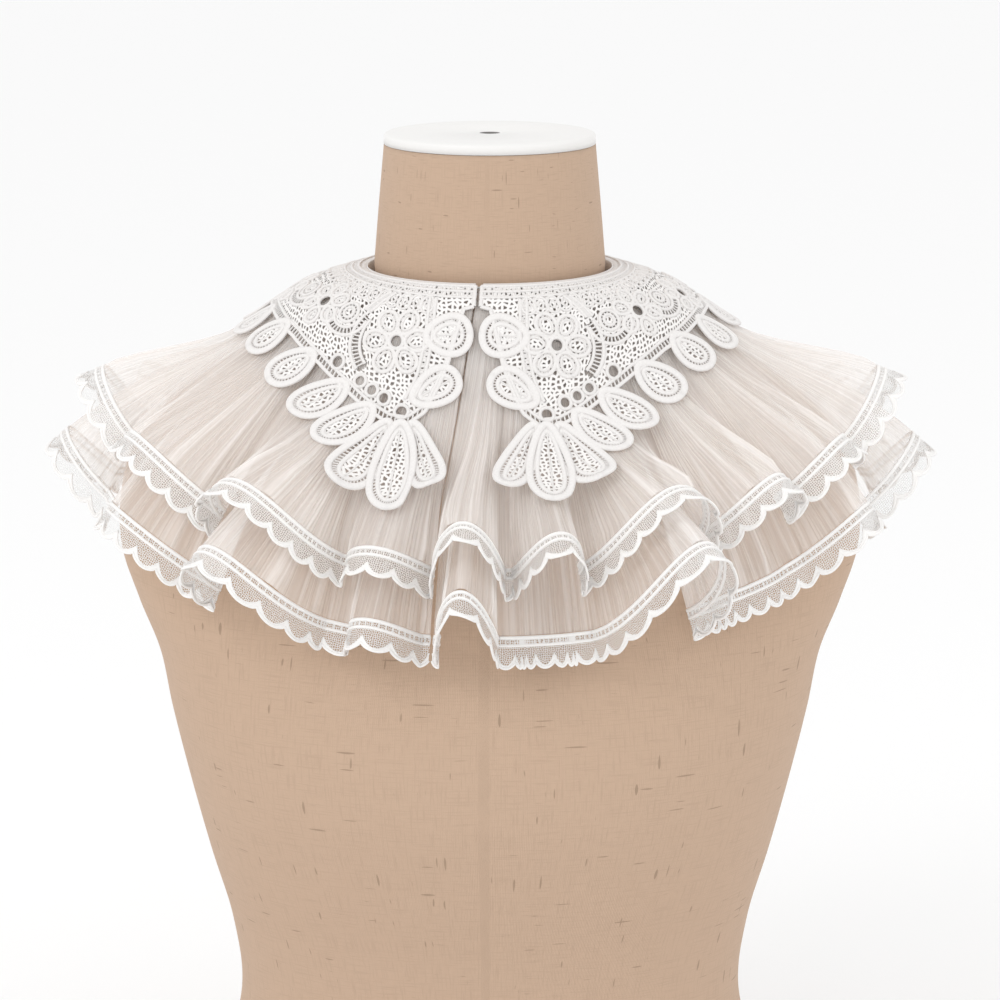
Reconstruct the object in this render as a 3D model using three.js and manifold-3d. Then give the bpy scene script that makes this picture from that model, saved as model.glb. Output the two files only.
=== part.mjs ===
// A detachable two-tier ruffled collar with a guipure lace top, shown on a limbless dress form.
// Millimetres, +Z up. The wearer's front is -Y and the wearer's left side is +X.
// The origin is the middle of the flat underside of the dress form.
import * as THREE from 'three';
import { mergeVertices } from 'three/addons/utils/BufferGeometryUtils.js';
import Module from 'manifold-3d';

const wasm = await Module();
wasm.setup();

// ---- Driving dimensions ---------------------------------------------------------------------

const SEAM_GAP = 0.3; // between two pieces that are sewn edge to edge
const SEAM_HEIGHT = 470; // neck seam of the collar above the base of the form
const BAND_RADIUS = 60.5; // middle of the neck band's wall
const BAND_WALL = 1.0;
const BAND_HEIGHT = 8;
const BAND_OPENING = 1.7; // degrees from the opening to each end of the band
const BAND_COLUMNS = 40;

const CHIFFON = 1.2; // wall of a ruffle
const NET_LACE = 1.0; // wall of the edging
const GUIPURE = 1.8; // wall of the thickly stitched lace collar
const GUIPURE_RISE = 3.3; // middle of the lace above the middle of the upper ruffle

// The two ruffles: depth of the chiffon from neck seam to hem, and where the cut begins.
// nest narrows the flutes, so that those of the lower tier lie inside those of the upper one.
const LOWER = { depth: 168, outward: 61.8, upward: 0, ownFolds: false, nest: 0.8 };
const UPPER = { depth: 138, outward: 63.3, upward: 2, ownFolds: true, nest: 1 };
// The stiff lace bridges the valleys of the upper ruffle, so it keeps to the highest flute nearby.
const LACE = { outward: 63.3, upward: 2, bridges: [-8, -6, -4, -2, 0, 2, 4, 6, 8] };
const RUFFLE_ROWS = [0, 20, 52, 94]; // distances from the neck seam where a ruffle has a row
const SCALLOPS = 138; // scallops of lace along each hem, and columns of each ruffle
const EDGING_WIDTH = 13;
const SCALLOP_DEPTH = 3;
const SCALLOP_STEPS = 2;
const HEM_SAMPLES = 6; // places measured along the hem for each scallop

// The centre-front opening: straight down for the lace, swinging to the wearer's right in the ruffles.
const OPENING = -12.5; // degrees, where the ruffles part at the hem
const OPENING_HALF_GAP = 0.35; // degrees from the opening to each ruffle's end
const SWING = 7.5; // degrees that the opening swings back towards the neck
const SWING_REACH = 45; // degrees either side that share in the swing
const SWING_DEPTH = 110; // distance from the neck at which the swing is used up
const LACE_CENTRE = -4.5; // degrees, the line where the two lace halves meet
const LACE_GAP = 0.5; // degrees from that line to each half

// Slope of the cloth below the horizontal, by distance from the neck seam.
const SLOPES = [
  { along: 0, front: 30, side: 10, back: 35 },
  { along: 15, front: 58, side: 14, back: 58 },
  { along: 35, front: 69, side: 34, back: 66 },
  { along: 60, front: 71, side: 37, back: 68 },
  { along: 90, front: 71, side: 36, back: 70 },
  { along: 150, front: 72, side: 55, back: 72 },
  { along: 190, front: 72, side: 64, back: 74 },
];
const SIDE_SHARPNESS = 3.2; // how closely the shoulder slope keeps to the side
const PATH_STEP = 4; // length of one step down the cloth

// Flutes of the ruffles: place and half width in degrees round the neck, and the angle by which
// the crest stands off the body, shared by both tiers (lift) and of the upper tier alone (extra).
const FOLDS = [
  { at: -4.4, wide: 8, lift: 19, extra: 4 },
  { at: 12.5, wide: 7.5, lift: 0, extra: 19 },
  { at: 31.5, wide: 11.5, lift: 24, extra: 3 },
  { at: 51, wide: 8, lift: 0, extra: 16 },
  { at: 67.5, wide: 8.5, lift: 7, extra: 3 },
  { at: 86.5, wide: 10.5, lift: 10, extra: 5 },
  { at: 108.5, wide: 11, lift: 10, extra: 5 },
  { at: 130.5, wide: 11, lift: 13, extra: 3 },
  { at: 152.5, wide: 11, lift: 14, extra: 3 },
  { at: 174.5, wide: 11, lift: 13, extra: 4 },
  { at: 205, wide: 10, lift: 13, extra: 3 },
  { at: 227, wide: 11, lift: 14, extra: 3 },
  { at: 249, wide: 11, lift: 12, extra: 4 },
  { at: 270.3, wide: 10.3, lift: 10, extra: 4 },
  { at: 292.6, wide: 12, lift: 6, extra: 4 },
  { at: 316.5, wide: 11.5, lift: 17, extra: 4 },
  { at: 338, wide: 9.4, lift: 8, extra: 3 },
];
const TIER_SPREAD = 2; // degrees by which the upper tier stands off the lower one everywhere
const FOLD_START = 50; // distance from the neck where the flutes begin
const FOLD_FULL = 110; // distance where they have opened
const FOLD_GAIN = 2; // how far they open
const FOLD_CURL = 0.25; // how far a crest spreads over the valleys beside it
const CURL_DEPTH = 110; // distance from the neck where that spread is full

// Dress form: horizontal sections, by height above the neck seam.
const FORM_SECTIONS = [
  { height: -470, side: 150, front: 100, back: 104, square: 2.15 },
  { height: -440, side: 148, front: 100, back: 104, square: 2.15 },
  { height: -400, side: 134, front: 95, back: 94, square: 2.1 },
  { height: -365, side: 127, front: 90, back: 86, square: 2.1 },
  { height: -330, side: 131, front: 96, back: 89, square: 2.1 },
  { height: -290, side: 142, front: 110, back: 94, square: 2.15 },
  { height: -250, side: 152, front: 123, back: 100, square: 2.2 },
  { height: -215, side: 160, front: 125, back: 104, square: 2.25 },
  { height: -185, side: 166, front: 119, back: 107, square: 2.3 },
  { height: -160, side: 176, front: 111, back: 109, square: 2.3 },
  { height: -135, side: 184, front: 104, back: 107, square: 2.25 },
  { height: -110, side: 184, front: 97, back: 103, square: 2.2 },
  { height: -90, side: 179, front: 91, back: 98, square: 2.15 },
  { height: -72, side: 167, front: 85, back: 91, square: 2.1 },
  { height: -55, side: 148, front: 79, back: 84, square: 2.05 },
  { height: -38, side: 122, front: 72, back: 75, square: 2 },
  { height: -24, side: 90, front: 63, back: 64, square: 2 },
  { height: -12, side: 66, front: 57.8, back: 58.5, square: 2 },
  { height: -5, side: 58, front: 57, back: 57, square: 2 },
  { height: 6, side: 57, front: 56.5, back: 56.5, square: 2 },
  { height: 30, side: 55, front: 54.8, back: 54.8, square: 2 },
  { height: 64, side: 52, front: 52, back: 52, square: 2 },
];
const FORM_COLUMNS = 24;
const CAP_RADIUS = 52;
const CAP_HEIGHT = 5;
const CAP_EDGE = 1.2; // chamfer round the top of the neck cap
const CAP_HOLE = 5; // radius of the finial hole in the middle of the cap
const CAP_COLUMNS = 24;

// Lace collar, one half: everything is placed by degrees round from the centre front (away) and
// distance down from the neck seam (down). turn is the angle of a petal's length from straight down.
const LACE_HEM = [
  { away: 0, down: 13 },
  { away: 5, down: 15 },
  { away: 9, down: 44 },
  { away: 14, down: 66 },
  { away: 19, down: 74 },
  { away: 24, down: 74 },
  { away: 30, down: 70 },
  { away: 38, down: 63 },
  { away: 48, down: 56 },
  { away: 60, down: 51 },
  { away: 75, down: 49 },
  { away: 92, down: 48 },
  { away: 120, down: 50 },
  { away: 136, down: 62 },
  { away: 151, down: 70 },
  { away: 165, down: 60 },
  { away: 172, down: 40 },
  { away: 175, down: 16 },
  { away: 180, down: 14 },
];
const LACE_COLUMNS = 28;
const LACE_DEPTH = 124; // the lace is cut from a wall of this depth
const LACE_ROWS = [0.006, 0.161, 0.42, 0.758, 1]; // shares of that depth
const GROUND_ROWS = [0, 0.4, 1]; // shares of the way to the lace ground's hem
const CUT_REACH = 4; // a cutting outline reaches this far either side of the lace
const PETALS = [
  { away: 9.5, down: 27, long: 25, wide: 22, turn: -95 },
  { away: 11.8, down: 53, long: 28, wide: 20, turn: -124 },
  { away: 12.2, down: 89.5, long: 45, wide: 18, turn: -28 },
  { away: 18.9, down: 95, long: 50, wide: 23.5, turn: -6 },
  { away: 26, down: 92.5, long: 45, wide: 20.5, turn: 13 },
  { away: 33, down: 80, long: 34, wide: 20, turn: 30 },
  { away: 42, down: 71.5, long: 32, wide: 20, turn: 32 },
  { away: 53.8, down: 63, long: 29, wide: 20, turn: 28 },
  { away: 67, down: 57.5, long: 27, wide: 20, turn: 20 },
  { away: 79, down: 58, long: 26, wide: 18, turn: 8 },
  { away: 93, down: 54, long: 27, wide: 23, turn: -10 },
  { away: 107, down: 56, long: 27, wide: 23, turn: -22 },
  { away: 121, down: 60, long: 28, wide: 22, turn: -40 },
  { away: 137, down: 76, long: 34, wide: 22, turn: -26 },
  { away: 150.5, down: 84, long: 38, wide: 22, turn: 0 },
  { away: 163.5, down: 74, long: 34, wide: 21, turn: 26 },
  { away: 171.5, down: 38, long: 26, wide: 21, turn: 80 },
];
const PETAL_POINTS = 8;
const PETAL_EGG = 0.22; // a petal is wider towards its free end by this share

// Open gaps in the lace ground that are over 4 mm wide.
const LACE_HOLES = [
  { away: 26.8, down: 33, long: 5.6, wide: 5.6 },
  { away: 20.8, down: 66.5, long: 5.6, wide: 5.4 },
  { away: 42.9, down: 50.7, long: 6, wide: 5 },
  { away: 30.5, down: 59, long: 5.2, wide: 4.4 },
  { away: 26.6, down: 61.5, long: 5.4, wide: 4.4 },
  { away: 34.6, down: 56, long: 5, wide: 4.4 },
  { away: 84, down: 33, long: 5.6, wide: 5.6 },
  { away: 118, down: 33, long: 5.6, wide: 5.6 },
  { away: 150, down: 33, long: 5.6, wide: 5.6 },
  { away: 151, down: 58.5, long: 5.6, wide: 5.4 },
];
const HOLE_SIDES = 6;

// Hook and eye inside the ends of the neck band. x runs round the neck from the opening, towards
// the wearer's left, z is the height from the middle of the band, and depth is the radius.
const WIRE_RADIUS = 0.45;
const EYE_ROUTE = [
  { x: 7, z: 2.6, depth: 59.2 },
  { x: 2, z: 2.3, depth: 59.2 },
  { x: -1.6, z: 1.4, depth: 59.2 },
  { x: -2.5, z: 0, depth: 59.2 },
  { x: -1.6, z: -1.4, depth: 59.2 },
  { x: 2, z: -2.3, depth: 59.2 },
  { x: 7, z: -2.6, depth: 59.2 },
];
const HOOK_ROUTE = [
  { x: -10, z: 0, depth: 59.2 },
  { x: -6, z: 0, depth: 59.1 },
  { x: -4, z: 0, depth: 58.2 },
  { x: -2, z: 0, depth: 57.9 },
  { x: -0.6, z: 0, depth: 58.2 },
  { x: -0.2, z: 0, depth: 59.2 },
];
const WIRE_STEPS = 10;
const WIRE_SIDES = 6;

// ---- Helpers --------------------------------------------------------------------------------

const { degToRad, radToDeg, lerp } = THREE.MathUtils;
const WELD = 1e-4; // corners closer than this are one corner
const ROUNDING = 1e-6; // slack when a length is compared with a sum of lengths

// Row of a table at one value of its key column, straight between the rows around it.
function tableAt(rows, key, value) {
  const last = rows[rows.length - 1];
  if (value <= rows[0][key]) return rows[0];
  if (value >= last[key]) return last;
  const next = rows.findIndex((row) => row[key] >= value);
  const before = rows[next - 1];
  const share = (value - before[key]) / (rows[next][key] - before[key]);
  const result = {};
  for (const name of Object.keys(before)) result[name] = lerp(before[name], rows[next][name], share);
  return result;
}

// A bump that is 1 at the middle and falls to 0 at one half width away.
function bump(distance) {
  return Math.abs(distance) < 1 ? Math.cos((Math.PI * distance) / 2) ** 2 : 0;
}

function clamp01(value) {
  return Math.min(1, Math.max(0, value));
}

// Point at a radius, an angle round from the front and a height.
function polar(radius, azimuth, height) {
  const angle = degToRad(azimuth);
  return new THREE.Vector3(radius * Math.sin(angle), -radius * Math.cos(angle), height);
}

// ---- The drape of the cloth -----------------------------------------------------------------

// The azimuth u below runs once round the neck, from the opening at OPENING to OPENING + 360.
// It names a line of the cut cloth. The curl of the flutes and the swing of the opening then move
// that line sideways.

function foldLift(u, tier) {
  if (tier.bridges) return Math.max(...tier.bridges.map((offset) => foldLift(u + offset, UPPER)));
  let lift = tier.ownFolds ? TIER_SPREAD : 0;
  for (const fold of FOLDS) {
    const height = fold.lift + (tier.ownFolds ? fold.extra : 0);
    lift += height * bump((u - fold.at) / (fold.wide * tier.nest));
  }
  return lift;
}

function foldCurl(u, along, tier) {
  let shift = 0;
  for (const fold of FOLDS) {
    const wide = fold.wide * tier.nest;
    const share = (u - fold.at) / wide;
    if (Math.abs(share) < 1) shift += wide * FOLD_CURL * Math.sin(Math.PI * share);
  }
  return shift * clamp01(along / CURL_DEPTH);
}

function openingSwing(u, along) {
  const offset = Math.min(u - OPENING, OPENING + 360 - u);
  return SWING * clamp01(1 - along / SWING_DEPTH) * bump(offset / SWING_REACH);
}

function trueAzimuth(u, along, tier) {
  return u + foldCurl(u, along, tier) + openingSwing(u, along);
}

// The path of the cloth down one line: it keeps its length, and its slope gives its shape.
function clothPath(u, tier, length) {
  const angle = degToRad(u);
  const side = Math.abs(Math.sin(angle)) ** SIDE_SHARPNESS;
  const face = Math.cos(angle) > 0 ? 'front' : 'back';
  const lift = foldLift(u, tier);
  const steps = Math.ceil(length / PATH_STEP);
  const step = length / steps;
  const path = [{ along: 0, radius: tier.outward, height: SEAM_HEIGHT + tier.upward }];
  for (let index = 1; index <= steps; index += 1) {
    const before = path[index - 1];
    const middle = before.along + step / 2;
    const slopes = tableAt(SLOPES, 'along', middle);
    const opened = FOLD_GAIN * clamp01((middle - FOLD_START) / (FOLD_FULL - FOLD_START));
    const slope = degToRad(lerp(slopes[face], slopes.side, side) - lift * opened);
    path.push({
      along: index * step,
      radius: before.radius + step * Math.cos(slope),
      height: before.height - step * Math.sin(slope),
    });
  }
  return path;
}

function pathPoint(path, u, along, tier) {
  const spot = tableAt(path, 'along', along);
  return polar(spot.radius, trueAzimuth(u, along, tier), spot.height);
}

// ---- Walls ----------------------------------------------------------------------------------

// One closed body from faces given as lists of corner points, with shared corners merged.
function bodyFromFaces(faces) {
  const positions = [];
  for (const face of faces) {
    for (let corner = 1; corner < face.length - 1; corner += 1) {
      for (const point of [face[0], face[corner], face[corner + 1]]) positions.push(...point.toArray());
    }
  }
  const geometry = new THREE.BufferGeometry();
  geometry.setAttribute('position', new THREE.Float32BufferAttribute(positions, 3));
  return mergeVertices(geometry, WELD);
}

// Outward direction at each point of a grid. Columns run round the neck and rows run down.
function gridNormals(grid) {
  return grid.map((column, i) =>
    column.map((point, j) => {
      const left = grid[Math.max(i - 1, 0)][j];
      const right = grid[Math.min(i + 1, grid.length - 1)][j];
      const up = column[Math.max(j - 1, 0)];
      const down = column[Math.min(j + 1, column.length - 1)];
      const across = right.clone().sub(left);
      return down.clone().sub(up).cross(across).normalize();
    }),
  );
}

// A wall of even thickness about a grid of points.
function wall(grid, thickness) {
  const normals = gridNormals(grid);
  const shifted = (side) =>
    grid.map((column, i) =>
      column.map((point, j) => point.clone().addScaledVector(normals[i][j], (side * thickness) / 2)),
    );
  const outer = shifted(1);
  const inner = shifted(-1);
  const lastColumn = grid.length - 1;
  const lastRow = grid[0].length - 1;
  const faces = [];
  for (let i = 0; i < lastColumn; i += 1) {
    for (let j = 0; j < lastRow; j += 1) {
      faces.push([outer[i][j], outer[i][j + 1], outer[i + 1][j + 1], outer[i + 1][j]]);
      faces.push([inner[i][j], inner[i + 1][j], inner[i + 1][j + 1], inner[i][j + 1]]);
    }
    faces.push([outer[i][0], outer[i + 1][0], inner[i + 1][0], inner[i][0]]);
    faces.push([outer[i + 1][lastRow], outer[i][lastRow], inner[i][lastRow], inner[i + 1][lastRow]]);
  }
  for (let j = 0; j < lastRow; j += 1) {
    faces.push([outer[0][j + 1], outer[0][j], inner[0][j], inner[0][j + 1]]);
    const [outerEnd, innerEnd] = [outer[lastColumn], inner[lastColumn]];
    faces.push([outerEnd[j], outerEnd[j + 1], innerEnd[j + 1], innerEnd[j]]);
  }
  return bodyFromFaces(faces);
}

// ---- Ruffles and their lace edgings ---------------------------------------------------------

// Lines of the cloth that are evenly spaced along the hem of the upper ruffle.
function hemColumns() {
  const first = OPENING + OPENING_HALF_GAP;
  const last = OPENING + 360 - OPENING_HALF_GAP;
  const samples = SCALLOPS * HEM_SAMPLES;
  const hem = [];
  let length = 0;
  for (let index = 0; index <= samples; index += 1) {
    const u = lerp(first, last, index / samples);
    const point = pathPoint(clothPath(u, UPPER, UPPER.depth), u, UPPER.depth, UPPER);
    if (index > 0) length += point.distanceTo(hem[index - 1].point);
    hem.push({ length, u, point });
  }
  const columns = [];
  for (let index = 0; index <= SCALLOPS; index += 1) {
    const wanted = (length * index) / SCALLOPS;
    const next = Math.max(1, hem.findIndex((spot) => spot.length >= wanted - ROUNDING));
    const before = hem[next - 1];
    const share = (wanted - before.length) / (hem[next].length - before.length);
    columns.push(lerp(before.u, hem[next].u, share));
  }
  return columns;
}

const columns = hemColumns();

function ruffleGrid(tier) {
  return columns.map((u) => {
    const path = clothPath(u, tier, tier.depth);
    return [...RUFFLE_ROWS, tier.depth].map((along) => pathPoint(path, u, along, tier));
  });
}

// The edging carries on from the ruffle's hem, straight on down the cloth, with scallops below.
function edgingGrid(ruffle) {
  const hem = ruffle.map((column) => {
    const point = column[column.length - 1];
    const above = column[column.length - 2];
    return { point, down: point.clone().sub(above).normalize() };
  });
  const grid = [];
  for (let index = 0; index <= SCALLOPS * SCALLOP_STEPS; index += 1) {
    const column = Math.min(Math.floor(index / SCALLOP_STEPS), SCALLOPS - 1);
    const share = index / SCALLOP_STEPS - column;
    const down = hem[column].down.clone().lerp(hem[column + 1].down, share).normalize();
    const start = hem[column].point.clone().lerp(hem[column + 1].point, share);
    start.addScaledVector(down, SEAM_GAP);
    const width = EDGING_WIDTH + SCALLOP_DEPTH * Math.abs(Math.sin(Math.PI * share));
    grid.push([start, start.clone().addScaledVector(down, width)]);
  }
  return grid;
}

// ---- Lace collar ----------------------------------------------------------------------------

const laceRows = LACE_ROWS.map((row) => row * LACE_DEPTH);

// A point of the drape that carries the lace, straight between the rows of the lace's wall.
function lacePoint(azimuth, along) {
  const path = clothPath((azimuth - OPENING + 360) % 360 + OPENING, LACE, LACE_DEPTH);
  const spots = laceRows.map((row) => tableAt(path, 'along', row));
  const spot = tableAt(spots, 'along', along);
  return polar(spot.radius, azimuth, spot.height);
}

const PROBE_ANGLE = 2;
const PROBE_LENGTH = 4;

// A place on the lace: its middle point, outward normal and directions round and down.
function laceSpot(side, away, down) {
  const azimuth = LACE_CENTRE + side * away;
  const base = lacePoint(azimuth, down);
  const round = lacePoint(azimuth + PROBE_ANGLE, down).sub(lacePoint(azimuth - PROBE_ANGLE, down));
  const below = lacePoint(azimuth, down + PROBE_LENGTH).sub(lacePoint(azimuth, down - PROBE_LENGTH));
  const normal = below.clone().cross(round).normalize();
  const point = base.addScaledVector(normal, GUIPURE_RISE);
  return { point, normal, round: round.normalize(), below: below.normalize() };
}

// A wall of one lace half, from the neck seam down to a depth that is given all the way round.
function laceWall(side, rows, depthAt, thickness) {
  const grid = [];
  for (let index = 0; index <= LACE_COLUMNS; index += 1) {
    const share = side > 0 ? index / LACE_COLUMNS : 1 - index / LACE_COLUMNS;
    const away = lerp(LACE_GAP, 180 - LACE_GAP, share);
    grid.push(rows.map((row) => laceSpot(side, away, row * depthAt(away)).point));
  }
  return wall(grid, thickness);
}

// An oval prism through the lace, its ends following the drape, that marks out one petal.
function petalPrism(side, petal) {
  const middle = laceSpot(side, petal.away, petal.down);
  const radius = Math.hypot(middle.point.x, middle.point.y);
  const turn = degToRad(petal.turn);
  const at = (spot, height) => spot.point.clone().addScaledVector(spot.normal, height);
  const rim = [];
  for (let index = 0; index < PETAL_POINTS; index += 1) {
    const angle = (2 * Math.PI * index) / PETAL_POINTS;
    const lengthwise = (petal.long * Math.cos(angle)) / 2;
    const crosswise = (petal.wide * Math.sin(angle) * (1 + PETAL_EGG * Math.cos(angle))) / 2;
    const outwards = lengthwise * Math.sin(turn) + crosswise * Math.cos(turn);
    const down = lengthwise * Math.cos(turn) - crosswise * Math.sin(turn);
    const away = petal.away + radToDeg(outwards / radius);
    rim.push(laceSpot(side, away, petal.down + down));
  }
  if (side < 0) rim.reverse();
  const faces = [];
  for (let index = 0; index < PETAL_POINTS; index += 1) {
    const next = (index + 1) % PETAL_POINTS;
    const [here, there] = [rim[index], rim[next]];
    faces.push([at(middle, CUT_REACH), at(here, CUT_REACH), at(there, CUT_REACH)]);
    faces.push([at(middle, -CUT_REACH), at(there, -CUT_REACH), at(here, -CUT_REACH)]);
    faces.push([at(here, CUT_REACH), at(here, -CUT_REACH), at(there, -CUT_REACH), at(there, CUT_REACH)]);
  }
  return bodyFromFaces(faces);
}

function holeCutter(side, hole) {
  const spot = laceSpot(side, hole.away, hole.down);
  const cutter = new THREE.CylinderGeometry(1, 1, 2 * CUT_REACH, HOLE_SIDES);
  cutter.deleteAttribute('normal');
  cutter.deleteAttribute('uv');
  const across = spot.round.clone().multiplyScalar(hole.wide / 2);
  const down = spot.normal.clone().cross(across).normalize().multiplyScalar(-hole.long / 2);
  const placed = new THREE.Matrix4().makeBasis(across, spot.normal, down).setPosition(spot.point);
  return mergeVertices(cutter.applyMatrix4(placed), WELD);
}

function toManifold(geometry) {
  return new wasm.Manifold(
    new wasm.Mesh({
      numProp: 3,
      vertProperties: geometry.attributes.position.array,
      triVerts: new Uint32Array(geometry.index.array),
    }),
  );
}

function fromManifold(solid) {
  const mesh = solid.getMesh();
  const geometry = new THREE.BufferGeometry();
  geometry.setAttribute('position', new THREE.Float32BufferAttribute(mesh.vertProperties, 3));
  geometry.setIndex(Array.from(mesh.triVerts));
  return geometry;
}

// The lace is cut from one wall: the outline joins its ground and petals, then the gaps come out.
function laceHalf(side) {
  const hemAt = (away) => tableAt(LACE_HEM, 'away', away).down;
  let outline = toManifold(laceWall(side, GROUND_ROWS, hemAt, 2 * CUT_REACH));
  for (const petal of PETALS) outline = outline.add(toManifold(petalPrism(side, petal)));
  for (const hole of LACE_HOLES) outline = outline.subtract(toManifold(holeCutter(side, hole)));
  const sheet = toManifold(laceWall(side, LACE_ROWS, () => LACE_DEPTH, GUIPURE));
  return fromManifold(sheet.intersect(outline));
}

// ---- Neck band and its hook and eye ---------------------------------------------------------

function neckBand() {
  const grid = [];
  for (let index = 0; index <= BAND_COLUMNS; index += 1) {
    const from = LACE_CENTRE + BAND_OPENING;
    const azimuth = lerp(from, LACE_CENTRE + 360 - BAND_OPENING, index / BAND_COLUMNS);
    const top = polar(BAND_RADIUS, azimuth, SEAM_HEIGHT + BAND_HEIGHT / 2);
    grid.push([top, polar(BAND_RADIUS, azimuth, SEAM_HEIGHT - BAND_HEIGHT / 2)]);
  }
  return wall(grid, BAND_WALL);
}

function wirePiece(route) {
  const points = route.map((row) => {
    const azimuth = LACE_CENTRE + radToDeg(row.x / row.depth);
    return polar(row.depth, azimuth, SEAM_HEIGHT + row.z);
  });
  const section = new THREE.Shape();
  section.setFromPoints(
    Array.from({ length: WIRE_SIDES }, (unused, index) => {
      const angle = (2 * Math.PI * index) / WIRE_SIDES;
      return new THREE.Vector2(WIRE_RADIUS * Math.cos(angle), WIRE_RADIUS * Math.sin(angle));
    }),
  );
  return new THREE.ExtrudeGeometry(section, {
    steps: WIRE_STEPS,
    bevelEnabled: false,
    extrudePath: new THREE.CatmullRomCurve3(points, false, 'centripetal'),
  });
}

// ---- Dress form -----------------------------------------------------------------------------

function formPoint(section, azimuth) {
  const angle = degToRad(azimuth);
  const depth = Math.cos(angle) > 0 ? section.front : section.back;
  const across = Math.abs(Math.sin(angle) / section.side) ** section.square;
  const along = Math.abs(Math.cos(angle) / depth) ** section.square;
  return polar((across + along) ** (-1 / section.square), azimuth, SEAM_HEIGHT + section.height);
}

function formBody() {
  const azimuths = Array.from({ length: FORM_COLUMNS }, (unused, index) => (360 * index) / FORM_COLUMNS);
  const rings = FORM_SECTIONS.map((section) => azimuths.map((azimuth) => formPoint(section, azimuth)));
  const faces = [];
  for (let row = 0; row < rings.length - 1; row += 1) {
    for (let index = 0; index < FORM_COLUMNS; index += 1) {
      const next = (index + 1) % FORM_COLUMNS;
      faces.push([rings[row][index], rings[row][next], rings[row + 1][next], rings[row + 1][index]]);
    }
  }
  faces.push([...rings[0]].reverse());
  faces.push(rings[rings.length - 1]);
  return bodyFromFaces(faces);
}

function neckCap() {
  const profile = [
    new THREE.Vector2(CAP_HOLE, 0),
    new THREE.Vector2(CAP_RADIUS, 0),
    new THREE.Vector2(CAP_RADIUS, CAP_HEIGHT - CAP_EDGE),
    new THREE.Vector2(CAP_RADIUS - CAP_EDGE, CAP_HEIGHT),
    new THREE.Vector2(CAP_HOLE, CAP_HEIGHT),
    new THREE.Vector2(CAP_HOLE, 0),
  ];
  return new THREE.LatheGeometry(profile, CAP_COLUMNS).rotateX(Math.PI / 2);
}

// ---- Assembly -------------------------------------------------------------------------------

const FINISHES = {
  linen: { color: 0xc8ad92, roughness: 0.85, metalness: 0 },
  cap: { color: 0xf2f1ee, roughness: 0.6, metalness: 0 },
  chiffon: { color: 0xf1ece4, roughness: 0.75, metalness: 0 },
  guipure: { color: 0xfaf6f2, roughness: 0.7, metalness: 0 },
  band: { color: 0xf4efe8, roughness: 0.7, metalness: 0 },
  wire: { color: 0xd0d0cc, roughness: 0.35, metalness: 0.9 },
};

function piece(name, geometry, finish) {
  const mesh = new THREE.Mesh(geometry, new THREE.MeshStandardMaterial(FINISHES[finish]));
  mesh.name = name;
  return mesh;
}

const collar = new THREE.Group();

for (const [name, tier] of Object.entries({ lower: LOWER, upper: UPPER })) {
  const ruffle = ruffleGrid(tier);
  collar.add(piece(`${name}_ruffle`, wall(ruffle, CHIFFON), 'chiffon'));
  collar.add(piece(`${name}_edging`, wall(edgingGrid(ruffle), NET_LACE), 'guipure'));
}
collar.add(piece('lace_collar_left', laceHalf(1), 'guipure'));
collar.add(piece('lace_collar_right', laceHalf(-1), 'guipure'));
collar.add(piece('neck_band', neckBand(), 'band'));
collar.add(piece('closure_eye', wirePiece(EYE_ROUTE), 'wire'));
collar.add(piece('closure_hook', wirePiece(HOOK_ROUTE), 'wire'));

const dressForm = new THREE.Group();
dressForm.add(piece('form_body', formBody(), 'linen'));
const cap = piece('neck_cap', neckCap(), 'cap');
const formTop = SEAM_HEIGHT + FORM_SECTIONS[FORM_SECTIONS.length - 1].height;
cap.position.z = formTop + SEAM_GAP;
dressForm.add(cap);

const part = new THREE.Group();
part.add(collar, dressForm);

export default part;
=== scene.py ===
# %% [markdown]
# # A detachable ruffled collar on a dress form
#
# The object is a deep collar of two sheer ruffles under a thick lace one, worn by a display form.
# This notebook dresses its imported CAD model. It could be modelled afresh, but the model already
# fixes where every piece is, so here each piece only gets the surface that a maker would see:
# crinkled chiffon, net edging, guipure lace and linen. The first step loads the model and notes
# its outer box, so that nothing grows past it later.

import math

import bpy
import numpy as np
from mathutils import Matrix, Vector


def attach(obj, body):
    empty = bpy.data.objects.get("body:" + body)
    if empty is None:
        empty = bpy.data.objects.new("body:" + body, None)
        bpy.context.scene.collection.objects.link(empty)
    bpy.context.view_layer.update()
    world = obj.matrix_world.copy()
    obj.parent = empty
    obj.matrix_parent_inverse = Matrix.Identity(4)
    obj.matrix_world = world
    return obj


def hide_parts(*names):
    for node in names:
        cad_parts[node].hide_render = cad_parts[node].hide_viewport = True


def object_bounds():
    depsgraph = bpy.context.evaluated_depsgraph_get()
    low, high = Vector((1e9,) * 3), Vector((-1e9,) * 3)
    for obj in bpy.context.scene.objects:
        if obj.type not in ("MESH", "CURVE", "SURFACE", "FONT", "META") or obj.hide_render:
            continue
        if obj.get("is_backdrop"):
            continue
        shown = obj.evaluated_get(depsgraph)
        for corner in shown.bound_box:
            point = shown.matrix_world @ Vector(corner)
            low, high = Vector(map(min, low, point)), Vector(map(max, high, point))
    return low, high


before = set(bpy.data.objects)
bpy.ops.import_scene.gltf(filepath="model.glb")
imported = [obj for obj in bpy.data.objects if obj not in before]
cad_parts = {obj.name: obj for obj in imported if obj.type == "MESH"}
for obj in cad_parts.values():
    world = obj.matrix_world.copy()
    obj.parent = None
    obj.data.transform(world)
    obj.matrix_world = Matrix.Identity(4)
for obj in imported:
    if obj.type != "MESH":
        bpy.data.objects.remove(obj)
cad_box = [list(map(float, corner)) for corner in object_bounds()]
print("nodes:", sorted(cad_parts))

# %% [markdown]
# ## The camera
#
# A collar is looked at from the front, a little from above. A wide lens close by would show it
# too, but it would swell the front flutes. A long lens from two metres away keeps the near and
# the far side at almost the same scale, and it looks down so that the flutes show their hollows.

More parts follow.
